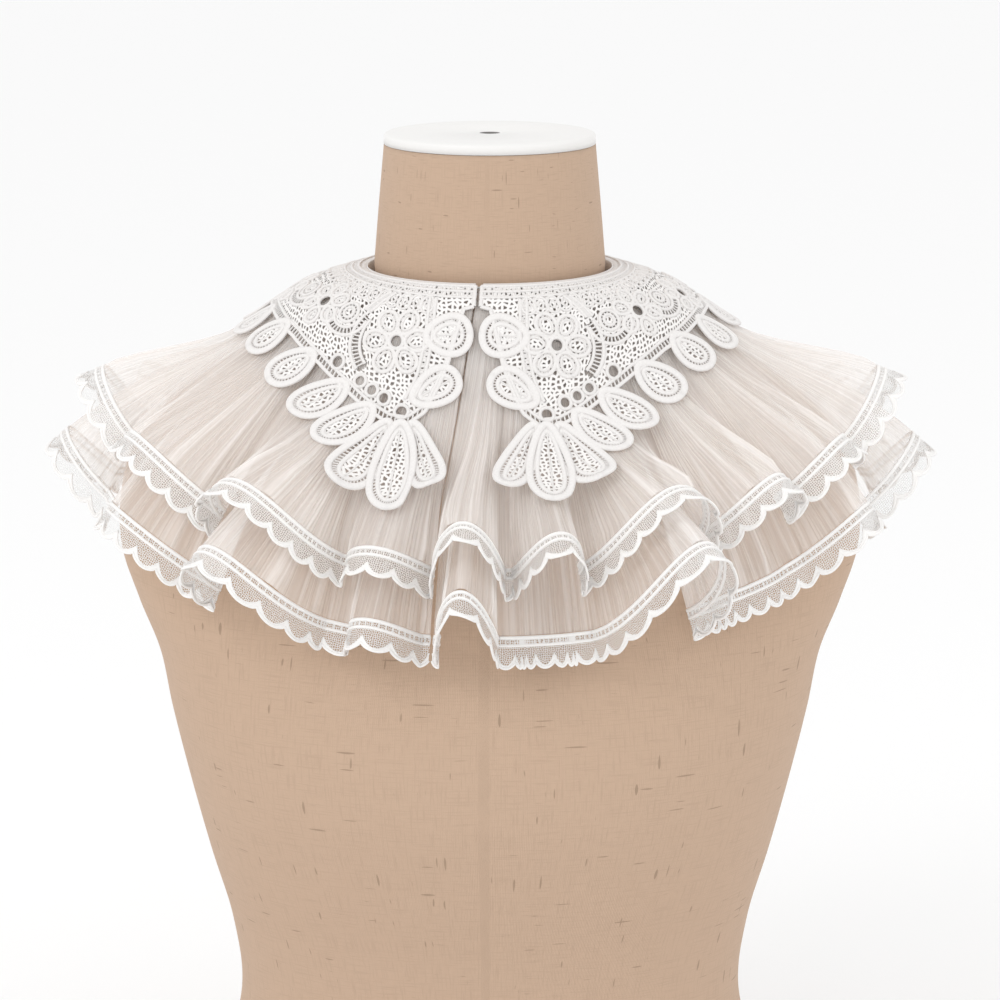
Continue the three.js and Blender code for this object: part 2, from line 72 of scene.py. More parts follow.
# %% Place the camera
MM = 0.001
CAMERA_DISTANCE = 2000 * MM
CAMERA_ELEVATION = math.radians(12)
CAMERA_LENS = 144
LOOK_AT = (5 * MM, 0, 355 * MM)

camera_data = bpy.data.cameras.new("camera")
camera_data.lens = CAMERA_LENS
camera = bpy.data.objects.new("camera", camera_data)
camera.location = (
    LOOK_AT[0],
    LOOK_AT[1] - CAMERA_DISTANCE * math.cos(CAMERA_ELEVATION),
    LOOK_AT[2] + CAMERA_DISTANCE * math.sin(CAMERA_ELEVATION),
)
camera.rotation_euler = (math.pi / 2 - CAMERA_ELEVATION, 0, 0)
bpy.context.scene.collection.objects.link(camera)
bpy.context.scene.camera = camera
print("camera height", round(camera.location.z, 3), "m")

# %% [markdown]
# ## How the cloth hangs
#
# Both ruffles are sewn to a narrow band round the neck and fall over the form. A cloth simulation
# could drape them, but it would settle the flutes in other places than the model's solids have
# them. So the shape is worked out: each line of the cloth from neck to hem keeps its length, and
# follows from its slope alone. The sizes are the pattern's own, in millimetres and in degrees
# round the neck from the centre front towards the wearer's left.

# %% The sizes of the pattern
SEAM_HEIGHT = 470
LOWER = {"depth": 168, "outward": 61.8, "upward": 0, "own_folds": 0, "nest": 0.8}
UPPER = {"depth": 138, "outward": 63.3, "upward": 2, "own_folds": 1, "nest": 1}
OPENING = -12.5  # where the ruffles part at the front
OPENING_HALF_GAP = 0.35
SWING = 7.5  # how far the opening swings back towards the neck
SWING_REACH = 45
SWING_DEPTH = 110
print("depths of the ruffles:", LOWER["depth"], "and", UPPER["depth"], "mm")

# %% [markdown]
# Cloth leaves a neck nearly flat and then hangs. At the shoulders it lies on the form, so it stays
# flatter there than at the front and back. Three short tables of slopes below the horizontal say
# so, and the code blends them round the neck. That is easier to correct than a net of points.

# %% The slopes of the cloth
SLOPE_ALONG = [0, 15, 35, 60, 90, 150, 190]
SLOPE_FRONT = [30, 58, 69, 71, 71, 72, 72]
SLOPE_SIDE = [10, 14, 34, 37, 36, 55, 64]
SLOPE_BACK = [35, 58, 66, 68, 70, 72, 74]
SIDE_SHARPNESS = 3.2  # how narrow the shoulders' share of the round is
print("steepest slope:", max(SLOPE_BACK), "degrees")

# %% [markdown]
# A flute is a run of lines that fall less steeply than their neighbours, so they stand off the
# body. Chance could spread the flutes, but both tiers have to share them, because the upper cloth
# rests on the lower. So a list places each one, uneven as gathers are when a hand spreads them.

# %% The flutes
# place and half width in degrees, lift in degrees, and the upper tier's extra lift
FOLDS = [
    (-4.4, 8, 19, 4),
    (12.5, 7.5, 0, 19),
    (31.5, 11.5, 24, 3),
    (51, 8, 0, 16),
    (67.5, 8.5, 7, 3),
    (86.5, 10.5, 10, 5),
    (108.5, 11, 10, 5),
    (130.5, 11, 13, 3),
    (152.5, 11, 14, 3),
    (174.5, 11, 13, 4),
    (205, 10, 13, 3),
    (227, 11, 14, 3),
    (249, 11, 12, 4),
    (270.3, 10.3, 10, 4),
    (292.6, 12, 6, 4),
    (316.5, 11.5, 17, 4),
    (338, 9.4, 8, 3),
]
TIER_SPREAD = 2
FOLD_START = 50  # distance from the neck where the flutes begin
FOLD_FULL = 110
FOLD_GAIN = 2
FOLD_CURL = 0.25  # how far a crest spreads over the valleys beside it
CURL_DEPTH = 110
print("flutes:", len(FOLDS))


def bump(distance):
    """One at its middle, falling smoothly to nothing at a distance of one."""
    return np.where(np.abs(distance) < 1, np.cos(np.pi * distance / 2) ** 2, 0)


def fold_lift(u, tier):
    """How much less steeply each line of a tier falls, in degrees."""
    lift = np.full_like(u, TIER_SPREAD * tier["own_folds"])
    for at, wide, height, extra in FOLDS:
        lift += (height + extra * tier["own_folds"]) * bump((u - at) / (wide * tier["nest"]))
    return lift


def true_azimuth(u, along, tier):
    """Where a line has got to round the neck, after the flutes' curl and the opening's swing."""
    curl = np.zeros_like(u)
    for at, wide, _, _ in FOLDS:
        half = wide * tier["nest"]
        share = (u - at) / half
        curl += np.where(np.abs(share) < 1, half * FOLD_CURL * np.sin(np.pi * share), 0)
    offset = np.minimum(u - OPENING, OPENING + 360 - u)
    swing = SWING * np.clip(1 - along / SWING_DEPTH, 0, 1) * bump(offset / SWING_REACH)
    return u + curl * np.clip(along / CURL_DEPTH, 0, 1) + swing


# %% [markdown]
# Now every line can be walked from the neck down. A loop could take its steps one by one, but a
# running sum over an array takes all steps of all lines at once, in a few milliseconds. The result
# is a table that any later step reads, between its lines too.

# %% Follow every line of the cloth
LINE_STEP = 0.25
LINES = OPENING + np.arange(0, 360.01, LINE_STEP)
REACH = 190


def follow(lift, outward, upward):
    """Radius and height of every line at every millimetre from the neck."""
    middle = np.arange(REACH) + 0.5
    angle = np.radians(LINES)
    side = (np.abs(np.sin(angle)) ** SIDE_SHARPNESS)[:, None]
    front = np.interp(middle, SLOPE_ALONG, SLOPE_FRONT)[None, :]
    back = np.interp(middle, SLOPE_ALONG, SLOPE_BACK)[None, :]
    flank = np.interp(middle, SLOPE_ALONG, SLOPE_SIDE)[None, :]
    face = np.where(np.cos(angle)[:, None] > 0, front, back)
    opened = FOLD_GAIN * np.clip((middle - FOLD_START) / (FOLD_FULL - FOLD_START), 0, 1)
    slope = np.radians(face * (1 - side) + flank * side - lift[:, None] * opened[None, :])
    start = np.zeros((len(LINES), 1))
    radius = outward + np.hstack([start, np.cumsum(np.cos(slope), axis=1)])
    height = SEAM_HEIGHT + upward - np.hstack([start, np.cumsum(np.sin(slope), axis=1)])
    return radius, height


def read(table, u, along):
    """A value between the tabulated lines and millimetres."""
    across = np.clip((u - LINES[0]) / LINE_STEP, 0, len(LINES) - 1.001)
    down = np.clip(along, 0, REACH - 0.001)
    i = across.astype(int)
    j = down.astype(int)
    p = across - i
    q = down - j
    top = table[i, j] * (1 - p) + table[i + 1, j] * p
    low = table[i, j + 1] * (1 - p) + table[i + 1, j + 1] * p
    return top * (1 - q) + low * q


for tier in (LOWER, UPPER):
    tier["path"] = follow(fold_lift(LINES, tier), tier["outward"], tier["upward"])
print("lines followed:", len(LINES), "lowest hem", UPPER["path"][1][:, UPPER["depth"]].min().round(1))

# %% [markdown]
# Lace and cords lie on the cloth, so each needs a point of it and the direction that faces out.
# Blender could find both on a finished mesh. Reading them from the tables is exact and works
# between the points of any mesh: the normal comes from two neighbours each way.

# %% Points and normals on a ruffle
NORMAL_TURN = 0.3
NORMAL_STEP = 1
HEM_SAMPLES = 6000


def polar(radius, azimuth, height):
    """Points round the upright axis. The azimuth is 0 in front and 90 at the wearer's left."""
    angle = np.radians(azimuth)
    return np.stack([radius * np.sin(angle), -radius * np.cos(angle), height], axis=-1)


def ruffle_point(tier, u, along):
    """The point of a ruffle on a line of the cloth, some millimetres from the neck."""
    radius, height = tier["path"]
    return polar(read(radius, u, along), true_azimuth(u, along, tier), read(height, u, along))


def unit(vectors):
    """The same directions, with a length of one."""
    return vectors / np.maximum(np.linalg.norm(vectors, axis=-1, keepdims=True), 1e-9)


def normals_of(point_at, u, along):
    across = point_at(u + NORMAL_TURN, along) - point_at(u - NORMAL_TURN, along)
    down = point_at(u, along + NORMAL_STEP) - point_at(u, along - NORMAL_STEP)
    return unit(np.cross(down, across))


def ruffle_place(tier, u, along, rise=0.0):
    """Point and normal on a ruffle. The point stands off the cloth by the rise."""
    normals = normals_of(lambda a, b: ruffle_point(tier, a, b), u, along)
    return ruffle_point(tier, u, along) + normals * rise, normals


def running_length(line):
    """Distance of each point of a line from its first."""
    return np.concatenate([[0], np.cumsum(np.linalg.norm(np.diff(line, axis=0), axis=1))])


def hem_lines(tier, count):
    """Lines of the cloth spaced evenly along a tier's hem, and the hem's length."""
    u = np.linspace(OPENING + OPENING_HALF_GAP, OPENING + 360 - OPENING_HALF_GAP, HEM_SAMPLES)
    hem = ruffle_point(tier, u, np.full_like(u, tier["depth"]))
    length = running_length(hem)
    return np.interp(np.linspace(0, length[-1], count), length, u), length[-1]


print("hem lengths", round(hem_lines(UPPER, 2)[1]), "and", round(hem_lines(LOWER, 2)[1]), "mm")

# %% [markdown]
# ## Making meshes
#
# All pieces here are grids or sweeps of thousands of points. They could be built face by face with
# bmesh, but they are written straight into mesh arrays, which is far quicker. Each has a map in
# centimetres of cloth, so that threads and crinkles have their real size in the materials.

# %% From arrays to an object


def make_object(name, points, quads, uvs=None, smooth=True):
    """A mesh of four-sided faces, from points in millimetres and a map in centimetres."""
    mesh = bpy.data.meshes.new(name)
    mesh.vertices.add(len(points))
    mesh.vertices.foreach_set("co", (np.asarray(points) * MM).astype(np.float32).ravel())
    quads = np.asarray(quads, dtype=np.int32)
    mesh.loops.add(quads.size)
    mesh.loops.foreach_set("vertex_index", quads.ravel())
    mesh.polygons.add(len(quads))
    mesh.polygons.foreach_set("loop_start", np.arange(0, quads.size, 4, dtype=np.int32))
    mesh.update(calc_edges=True)
    if uvs is not None:
        layer = mesh.uv_layers.new(name="cloth")
        layer.data.foreach_set("uv", np.asarray(uvs, dtype=np.float32)[quads.ravel()].ravel())
    mesh.polygons.foreach_set("use_smooth", np.full(len(quads), smooth))
    mesh.validate()
    thing = bpy.data.objects.new(name, mesh)
    bpy.context.scene.collection.objects.link(thing)
    return thing


def add_map(piece, name, values):
    """A second map on a piece, of one value from 0 to 1 for each of its points."""
    layer = piece.data.uv_layers.new(name=name)
    corners = np.empty(len(piece.data.loops), dtype=np.int32)
    piece.data.loops.foreach_get("vertex_index", corners)
    value = np.asarray(values, dtype=np.float32).ravel()[corners]
    layer.data.foreach_set("uv", np.stack([value, 0 * value], axis=-1).ravel())


# %% [markdown]
# Cloth is a grid of points, and thread is a round thing drawn along a line. Curves with a bevel
# could make the thread, but every lace half has hundreds of cords, rims and ties. So the class
# below sweeps an oval along many lines at once and gathers them all into one mesh.

# %% Grids and cords


def grid_quads(columns, rows, closed=False):
    """Faces of a grid whose points run row by row within each column."""
    i = np.arange(columns if closed else columns - 1)[:, None]
    j = np.arange(rows - 1)[None, :]
    following = (i + 1) % columns
    corners = [i * rows + j, i * rows + j + 1, following * rows + j + 1, following * rows + j]
    return np.stack([c + 0 * j for c in corners], axis=-1).reshape(-1, 4)


class Strands:
    """Many cords, gathered into one mesh. Each is swept along its own line of points."""

    def __init__(self):
        self.points, self.quads, self.uvs, self.count = [], [], [], 0

    def gather(self, points, quads, uvs):
        self.points.append(points.reshape(-1, 3))
        self.uvs.append(uvs.reshape(-1, 2))
        self.quads.append(quads + self.count)
        self.count += points.size // 3

    def add(self, lines, normals, width, height, sides=6, closed=False):
        """lines is one cord, or an array of cords, each a row of points."""
        if lines.ndim == 2:
            lines, normals = lines[None], normals[None]
        cords, steps, _ = lines.shape
        if closed:
            ahead = np.roll(lines, -1, axis=1) - np.roll(lines, 1, axis=1)
        else:
            ahead = np.gradient(lines, axis=1)
        across = unit(np.cross(normals, unit(ahead)))
        angle = 2 * np.pi * (np.arange(sides) + 0.5) / sides
        flat, tall = (np.sign(f(angle)) * np.abs(f(angle)) ** 0.8 / 2 for f in (np.cos, np.sin))
        ring = (
            lines[:, :, None]
            + across[:, :, None] * (flat * width)[:, None]
            + normals[:, :, None] * (tall * height)[:, None]
        )
        length = np.linalg.norm(np.diff(lines, axis=1), axis=2)
        length = np.hstack([np.zeros((cords, 1)), np.cumsum(length, axis=1)]) / 10
        uvs = np.stack(np.broadcast_arrays(length[:, :, None], flat * width / 10), axis=-1)
        last = steps if closed else steps - 1
        k = np.arange(cords)[:, None, None] * steps * sides
        i = np.arange(last)[None, :, None]
        j = np.arange(sides)[None, None, :]
        here, there, turn = i * sides, ((i + 1) % steps) * sides, (j + 1) % sides
        corners = [here + j, there + j, there + turn, here + turn]
        faces = np.stack([k + c for c in corners], axis=-1).reshape(-1, 4)
        self.gather(ring, faces, uvs)

    def build(self, name):
        parts = (np.concatenate(part) for part in (self.points, self.quads, self.uvs))
        thing = make_object(name, *parts)
        print(name, "triangles", 2 * len(thing.data.polygons))
        return thing


# %% [markdown]
# ## Shader groups
#
# Four effects are shared: the crinkles of chiffon, the holes of net, the lie of thread and plain
# weave. Each could be a tiling picture, but a picture blurs close up and shows where it repeats.
# Noise and waves do neither. Each effect is a node group, built once, that gives out masks and
# heights only; the shader itself stays in each material.

# %% Node helpers
VECTOR, FLOAT = "NodeSocketVector", "NodeSocketFloat"
GROUPS = {}


def new_group(name, inputs, outputs):
    """A group with its sockets. Each input is a label and the size that it starts from."""
    group = bpy.data.node_groups.new(name, "ShaderNodeTree")
    group.interface.new_socket("Map", in_out="INPUT", socket_type=VECTOR)
    for label, value in inputs.items():
        socket = group.interface.new_socket(label, in_out="INPUT", socket_type=FLOAT)
        socket.default_value = value
    for label in outputs:
        group.interface.new_socket(label, in_out="OUTPUT", socket_type=FLOAT)
    entry = group.nodes.new("NodeGroupInput")
    leave = group.nodes.new("NodeGroupOutput")
    GROUPS[name] = group
    return group, entry.outputs, leave.inputs


def node(tree, kind, **settings):
    made = tree.nodes.new(kind)
    for key, value in settings.items():
        setattr(made, key, value)
    return made


def feed(tree, value, socket):
    """Gives a socket a link from another socket, or a plain value."""
    if isinstance(value, bpy.types.NodeSocket):
        tree.links.new(value, socket)
    else:
        socket.default_value = value


def combine(tree, operation, first, second, clamp=False):
    math_node = node(tree, "ShaderNodeMath", operation=operation, use_clamp=clamp)
    feed(tree, first, math_node.inputs[0])
    feed(tree, second, math_node.inputs[1])
    return math_node.outputs[0]


def spread(tree, value, low, high, to_low=0, to_high=1):
    """Maps a range of a value onto another, smoothly and without passing its ends."""
    mapper = node(tree, "ShaderNodeMapRange", interpolation_type="SMOOTHSTEP")
    feed(tree, value, mapper.inputs["Value"])
    ends = {"From Min": low, "From Max": high, "To Min": to_low, "To Max": to_high}
    for label, number in ends.items():
        feed(tree, number, mapper.inputs[label])
    return mapper.outputs[0]


# %% [markdown]
# Two patterns come back in several groups. Fibres, pleats and slubs are long and thin, so their
# noise is drawn out one way by squeezing the map. Stitches and yarns lie side by side, which is a
# wave with a little wander. A stack of plain sine waves would look ruled.

# %% Drawn noise and bands


def drawn_noise(tree, source, stretch, scale, detail, roughness=0.5):
    """Noise drawn out along the directions of the map whose stretch is below one."""
    scaled = node(tree, "ShaderNodeVectorMath", operation="MULTIPLY")
    feed(tree, source, scaled.inputs[0])
    feed(tree, stretch, scaled.inputs[1])
    noise = node(tree, "ShaderNodeTexNoise", noise_dimensions="2D")
    feed(tree, scaled.outputs[0], noise.inputs["Vector"])
    feed(tree, scale, noise.inputs["Scale"])
    feed(tree, detail, noise.inputs["Detail"])
    feed(tree, roughness, noise.inputs["Roughness"])
    return noise.outputs["Fac"]


def bands(tree, source, direction, scale, distortion, detail):
    """Waves side by side, for stitches and yarns."""
    wave = node(tree, "ShaderNodeTexWave", wave_type="BANDS", bands_direction=direction)
    feed(tree, source, wave.inputs["Vector"])
    feed(tree, scale, wave.inputs["Scale"])
    feed(tree, distortion, wave.inputs["Distortion"])
    feed(tree, detail, wave.inputs["Detail"])
    return wave.outputs["Fac"]


# %% [markdown]
# Crinkle chiffon is pressed into fine pleats of uneven width that run from neck to hem. A wave
# would give even ones. Noise that is drawn out down the cloth gives uneven ridges, which serve
# both as a mask of the cloth that is folded over and as a height for the bump.

# %% The crinkle group
CRINKLE_DRAW = (1, 0.018, 1)
CRINKLE_ROUGHNESS = 0.65
FOLD_LEVELS = (0.36, 0.7)  # heights at which open cloth starts and ends turning into folded cloth


def crinkle_group():
    """Fine pleats that run down the cloth: the map's y axis, in centimetres."""
    group, given, out = new_group("crinkle", {"Per Centimetre": 4}, ["Fold", "Height"])
    scale = given["Per Centimetre"]
    ridges = drawn_noise(group, given["Map"], CRINKLE_DRAW, scale, 3, CRINKLE_ROUGHNESS)
    feed(group, spread(group, ridges, *FOLD_LEVELS), out["Fold"])
    feed(group, ridges, out["Height"])


crinkle_group()
print("crinkle nodes:", len(GROUPS["crinkle"].nodes))

# %% [markdown]
# Net is thread knotted round open cells. Modelling every mesh would take millions of faces. A
# cell pattern knows how far each point is from the nearest cell's edge. That is a mask of the
# threads: cloth near an edge, a hole farther off, which the alpha then cuts out.

# %% The net group
THREAD_SOFTNESS = 0.015  # of a thread's edge, in cells
THREAD_RELIEF = (-0.02, 0.12)  # from the foot of a thread to its crown


def net_group():
    """Threads round uneven cells. Thread is half a thread's width, in cells."""
    sizes = {"Per Centimetre": 5, "Thread": 0.12, "Uneven": 0.6}
    group, given, out = new_group("net", sizes, ["Cover", "Height"])
    cells = node(group, "ShaderNodeTexVoronoi", feature="DISTANCE_TO_EDGE", voronoi_dimensions="2D")
    feed(group, given["Map"], cells.inputs["Vector"])
    feed(group, given["Per Centimetre"], cells.inputs["Scale"])
    feed(group, given["Uneven"], cells.inputs["Randomness"])
    inside = combine(group, "SUBTRACT", given["Thread"], cells.outputs["Distance"])
    feed(group, spread(group, inside, -THREAD_SOFTNESS, THREAD_SOFTNESS), out["Cover"])
    feed(group, spread(group, inside, *THREAD_RELIEF), out["Height"])


net_group()
print("net nodes:", len(GROUPS["net"].nodes))

# %% [markdown]
# An embroidered cord is covered with close stitches that lie across it. There are too many of them
# to model, and they only show as a grain in the light. Bands across the map give the stitches, and
# a noise over them makes some stand higher, as an uneven thread does.

# %% The thread group
STITCH_WANDER = 2.5
SPECKS = 9


def thread_group():
    """Close stitches across a cord, with a little uneven twist."""
    group, given, out = new_group("thread", {"Per Centimetre": 16}, ["Stitch", "Height"])
    stitches = bands(group, given["Map"], "X", given["Per Centimetre"], STITCH_WANDER, 2)
    specks = drawn_noise(group, given["Map"], (1, 1, 1), SPECKS, 2)
    feed(group, specks, out["Stitch"])
    feed(group, combine(group, "MULTIPLY", stitches, specks), out["Height"])


thread_group()
print("thread nodes:", len(GROUPS["thread"].nodes))

# %% [markdown]
# Linen is a plain weave, and its yarns have slubs, where the flax is thicker. Two sets of bands
# give the yarns. Noise drawn out each way gives the slubs: faint ones nearly everywhere and, above
# a high level only, a few short dark ones. One noise could not do both, as they differ in length.

# %% The weave group
YARN_WANDER = 1.2
FAINT_DRAW, FAINT_SCALE, FAINT_DETAIL = 0.05, 16, 4
THICK_DRAW, THICK_SCALE, THICK_DETAIL = 0.12, 7, 0
THICK_LEVELS = (0.85, 0.9)


def weave_group():
    """Plain weave, with faint slubs both ways and a few short thick dark ones."""
    group, given, out = new_group("weave", {"Per Centimetre": 14}, ["Slub", "Thick", "Height"])
    cloth = given["Map"]
    faint, thick, yarns = [], [], []
    for direction, drawn in (("X", lambda share: (1, share, 1)), ("Y", lambda share: (share, 1, 1))):
        faint.append(drawn_noise(group, cloth, drawn(FAINT_DRAW), FAINT_SCALE, FAINT_DETAIL))
        thick.append(drawn_noise(group, cloth, drawn(THICK_DRAW), THICK_SCALE, THICK_DETAIL))
        yarns.append(bands(group, cloth, direction, given["Per Centimetre"], YARN_WANDER, 1))
    feed(group, combine(group, "MAXIMUM", *faint), out["Slub"])
    feed(group, spread(group, combine(group, "MAXIMUM", *thick), *THICK_LEVELS), out["Thick"])
    feed(group, combine(group, "MAXIMUM", *yarns), out["Height"])


weave_group()
print("weave nodes:", len(GROUPS["weave"].nodes))

# %% [markdown]
# ## Materials
#
# Cloth and thread scatter light softly, with a faint sheen from the fibres that stand up. Each
# material could be set up by hand in the editor. Four short helpers keep them alike: one starts
# the shader, one places a group on the cloth's map, one mixes two colours by a mask, and one
# turns a height into a bump.

# %% Build a material


def start_material(name, roughness, sheen=0.0, metallic=0.0):
    material = bpy.data.materials.new(name)
    material.use_nodes = True
    tree = material.node_tree
    shader = tree.nodes["Principled BSDF"]
    shader.inputs["Roughness"].default_value = roughness
    shader.inputs["Sheen Weight"].default_value = sheen
    shader.inputs["Metallic"].default_value = metallic
    return material, tree, shader


def read_map(tree, name):
    return node(tree, "ShaderNodeUVMap", uv_map=name).outputs["UV"]


def place_group(tree, name, **values):
    placed = node(tree, "ShaderNodeGroup")
    placed.node_tree = GROUPS[name]
    feed(tree, read_map(tree, "cloth"), placed.inputs["Map"])
    for label, value in values.items():
        feed(tree, value, placed.inputs[label.replace("_", " ")])
    return placed.outputs


def shade(tree, shader, mask, low, high):
    """The base colour: one colour where the mask is nothing, another where it is one."""
    mix = node(tree, "ShaderNodeMix", data_type="RGBA")
    feed(tree, mask, mix.inputs["Factor"])
    feed(tree, (*low, 1), mix.inputs["A"])
    feed(tree, (*high, 1), mix.inputs["B"])
    feed(tree, mix.outputs["Result"], shader.inputs["Base Color"])


def emboss(tree, shader, height, strength, depth_mm):
    relief = node(tree, "ShaderNodeBump")
    feed(tree, strength, relief.inputs["Strength"])
    feed(tree, depth_mm * MM, relief.inputs["Distance"])
    feed(tree, height, relief.inputs["Height"])
    feed(tree, relief.outputs["Normal"], shader.inputs["Normal"])


# %% [markdown]
# Chiffon is so thin that what lies under it shows through, and it is densest where it is folded or
# bunched. Transmission would treat it as a pane that bends light. Alpha treats it as what it is,
# threads with gaps between them. So the alpha rises a little with the crinkles, and more with the
# gather map, a second map that each ruffle carries.

# %% Chiffon
SHEER = (0.35, 0.45)  # alpha of flat cloth and of a crinkle
BUNCHED = 0.19  # alpha that fully bunched cloth adds


def chiffon_material():
    material, tree, shader = start_material("chiffon", 0.85, sheen=0.15)
    crinkle = place_group(tree, "crinkle", Per_Centimetre=5.5)
    shade(tree, shader, crinkle["Fold"], (0.945, 0.895, 0.86), (0.985, 0.955, 0.93))
    gather = node(tree, "ShaderNodeSeparateXYZ")
    feed(tree, read_map(tree, "gather"), gather.inputs[0])
    bunched = combine(tree, "MULTIPLY", gather.outputs["X"], BUNCHED)
    sheer = spread(tree, crinkle["Fold"], 0, 1, *SHEER)
    feed(tree, combine(tree, "ADD", sheer, bunched, clamp=True), shader.inputs["Alpha"])
    emboss(tree, shader, crinkle["Height"], 0.35, 0.5)
    return material


CHIFFON = chiffon_material()
print("made", CHIFFON.name)

# %% [markdown]
# Both laces are net and thread, but not the same: guipure is dull cotton on a coarse ground with
# thick threads, and the edging is whiter, smoother rayon on a fine net. Two functions with the
# sizes and colours as arguments make all four, so that net and cords of one lace always match.
# Each lace has a darker colour, painted shade where its thread lies low, and a lighter one where it
# stands up.

# %% Net and thread
# The first colour of each pair is painted shade, for thread that lies low; the second is its lit colour,
# for thread that stands up.
COTTON_SHADED_AND_LIT = ((0.76, 0.735, 0.72), (0.865, 0.845, 0.83))  # where it lies low, and where it stands up
RAYON_SHADED_AND_LIT = ((0.88, 0.86, 0.84), (0.965, 0.955, 0.945))


def net_material(name, per_centimetre, thread, uneven, colours):
    material, tree, shader = start_material(name, 0.8, sheen=0.1)
    net = place_group(tree, "net", Per_Centimetre=per_centimetre, Thread=thread, Uneven=uneven)
    # Painted shade: each net thread is darker towards its foot and lighter on its crown, by the net's
    # height.
    shade(tree, shader, net["Height"], *colours)
    feed(tree, net["Cover"], shader.inputs["Alpha"])
    emboss(tree, shader, net["Height"], 0.6, 0.5)
    return material


def thread_material(name, colours):
    material, tree, shader = start_material(name, 0.7, sheen=0.1)
    thread = place_group(tree, "thread", Per_Centimetre=9)
    # Stitches that stand higher are lighter and low ones darker: partly the thread's uneven tone, partly
    # painted shade.
    shade(tree, shader, thread["Stitch"], *colours)
    emboss(tree, shader, thread["Height"], 0.45, 0.25)
    return material


GROUND_NET = net_material("guipure_ground", 4, 0.27, 0.75, COTTON_SHADED_AND_LIT)
EDGING_NET = net_material("edging_net", 10, 0.15, 0.6, RAYON_SHADED_AND_LIT)
THREAD = thread_material("cotton_thread", COTTON_SHADED_AND_LIT)
EDGING_THREAD = thread_material("edging_thread", RAYON_SHADED_AND_LIT)
print("made", GROUND_NET.name, EDGING_NET.name, THREAD.name, EDGING_THREAD.name)

# %% [markdown]
# The form wears unbleached linen. A picture of linen would show a seam where it meets itself, and
# one even brown would look like card. So the weave group's slubs darken the brown: the faint ones
# by up to a fifth of the way to the darkest yarn, and the few thick ones by more.

# %% Linen
FAINT_LEVELS = (0.45, 0.8)
FAINT_DARKENS = 0.22
THICK_DARKENS = 0.7


def linen_material():
    material, tree, shader = start_material("linen", 0.85, sheen=0.05)
    weave = place_group(tree, "weave", Per_Centimetre=5)
    faint = spread(tree, weave["Slub"], *FAINT_LEVELS, 0, FAINT_DARKENS)
    thick = combine(tree, "MULTIPLY", weave["Thick"], THICK_DARKENS)
    darker = combine(tree, "MAXIMUM", faint, thick)
    shade(tree, shader, darker, (0.54, 0.385, 0.277), (0.29, 0.2, 0.135))
    emboss(tree, shader, weave["Height"], 0.4, 0.3)
    return material


LINEN = linen_material()
print("made", LINEN.name)

# %% [markdown]
# The neck cap has a coat of white satin paint, and its bore is painted near-black as the shade inside
# the hole. A second material for the bore would need its faces chosen by hand. The cap's map is
# measured from its axis, so the distance from the middle of the map already says what is bore. The
# hook and eye are plated wire.

# %% Paint and wire
# The bore's near-black is painted shade inside the hole, out to this distance from the axis.
BORE_SHADE_EDGE = (0.49, 0.53)  # centimetres from the axis, where the paint begins


def painted_material():
    material, tree, shader = start_material("white_paint", 0.45)
    grain = place_group(tree, "thread", Per_Centimetre=2)
    from_axis = node(tree, "ShaderNodeVectorMath", operation="LENGTH")
    feed(tree, read_map(tree, "cloth"), from_axis.inputs[0])
    painted = spread(tree, from_axis.outputs["Value"], *BORE_SHADE_EDGE)
    # Painted shade: near-black in the bore, for the shade inside the hole; white paint outside it.
    shade(tree, shader, painted, (0.06, 0.05, 0.045), (0.8, 0.79, 0.775))
    emboss(tree, shader, grain["Stitch"], 0.1, 0.2)
    return material


def wire_material():
    material, tree, shader = start_material("plated_wire", 0.3, metallic=1.0)
    grain = place_group(tree, "thread", Per_Centimetre=4)
    shade(tree, shader, grain["Stitch"], (0.6, 0.6, 0.58), (0.8, 0.8, 0.78))
    emboss(tree, shader, grain["Height"], 0.1, 0.05)
    return material


PAINT = painted_material()
WIRE = wire_material()
print("materials:", len(bpy.data.materials))

# %% [markdown]
# A finished piece wears one material and belongs to the model: it rides with the part's one body,
# and the one or more solids that it stands for are hidden. That could be written out fifteen times.
# One function says it the same way for each piece.

# %% Dress a piece


def dress(piece, material, slot, *nodes):
    """Gives a piece its material and its body, and hides the CAD nodes it stands for."""
    piece.data.materials.clear()
    piece.data.materials.append(material)
    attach(piece, "root")
    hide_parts(*nodes)


# %% [markdown]
# ## The dress form
#
# The form is a padded torso with a linen cover, cut flat below the waist. It could be sculpted, but
# its shape is known: the sections are the CAD model's, with a smooth curve put through them, so
# that shoulders and bust round over as stuffed cloth does.

# %% Linen torso
# height above the neck seam, half width, depth in front, depth behind, squareness
FORM_SECTIONS = np.array(
    [
        (-470, 150, 100, 104, 2.15),
        (-440, 148, 100, 104, 2.15),
        (-400, 134, 95, 94, 2.1),
        (-365, 127, 90, 86, 2.1),
        (-330, 131, 96, 89, 2.1),
        (-290, 142, 110, 94, 2.15),
        (-250, 152, 123, 100, 2.2),
        (-215, 160, 125, 104, 2.25),
        (-185, 166, 119, 107, 2.3),
        (-160, 176, 111, 109, 2.3),
        (-135, 184, 104, 107, 2.25),
        (-110, 184, 97, 103, 2.2),
        (-90, 179, 91, 98, 2.15),
        (-72, 167, 85, 91, 2.1),
        (-55, 148, 79, 84, 2.05),
        (-38, 122, 72, 75, 2),
        (-24, 90, 63, 64, 2),
        (-12, 66, 57.8, 58.5, 2),
        (-5, 58, 57, 57, 2),
        (6, 57, 56.5, 56.5, 2),
        (30, 55, 54.8, 54.8, 2),
        (64, 52, 52, 52, 2),
    ]
)
FORM_COLUMNS = 144
FORM_ROW = 3  # height of a row of faces
COVER_RADIUS = 90  # the linen's map is rolled off a tube of this radius


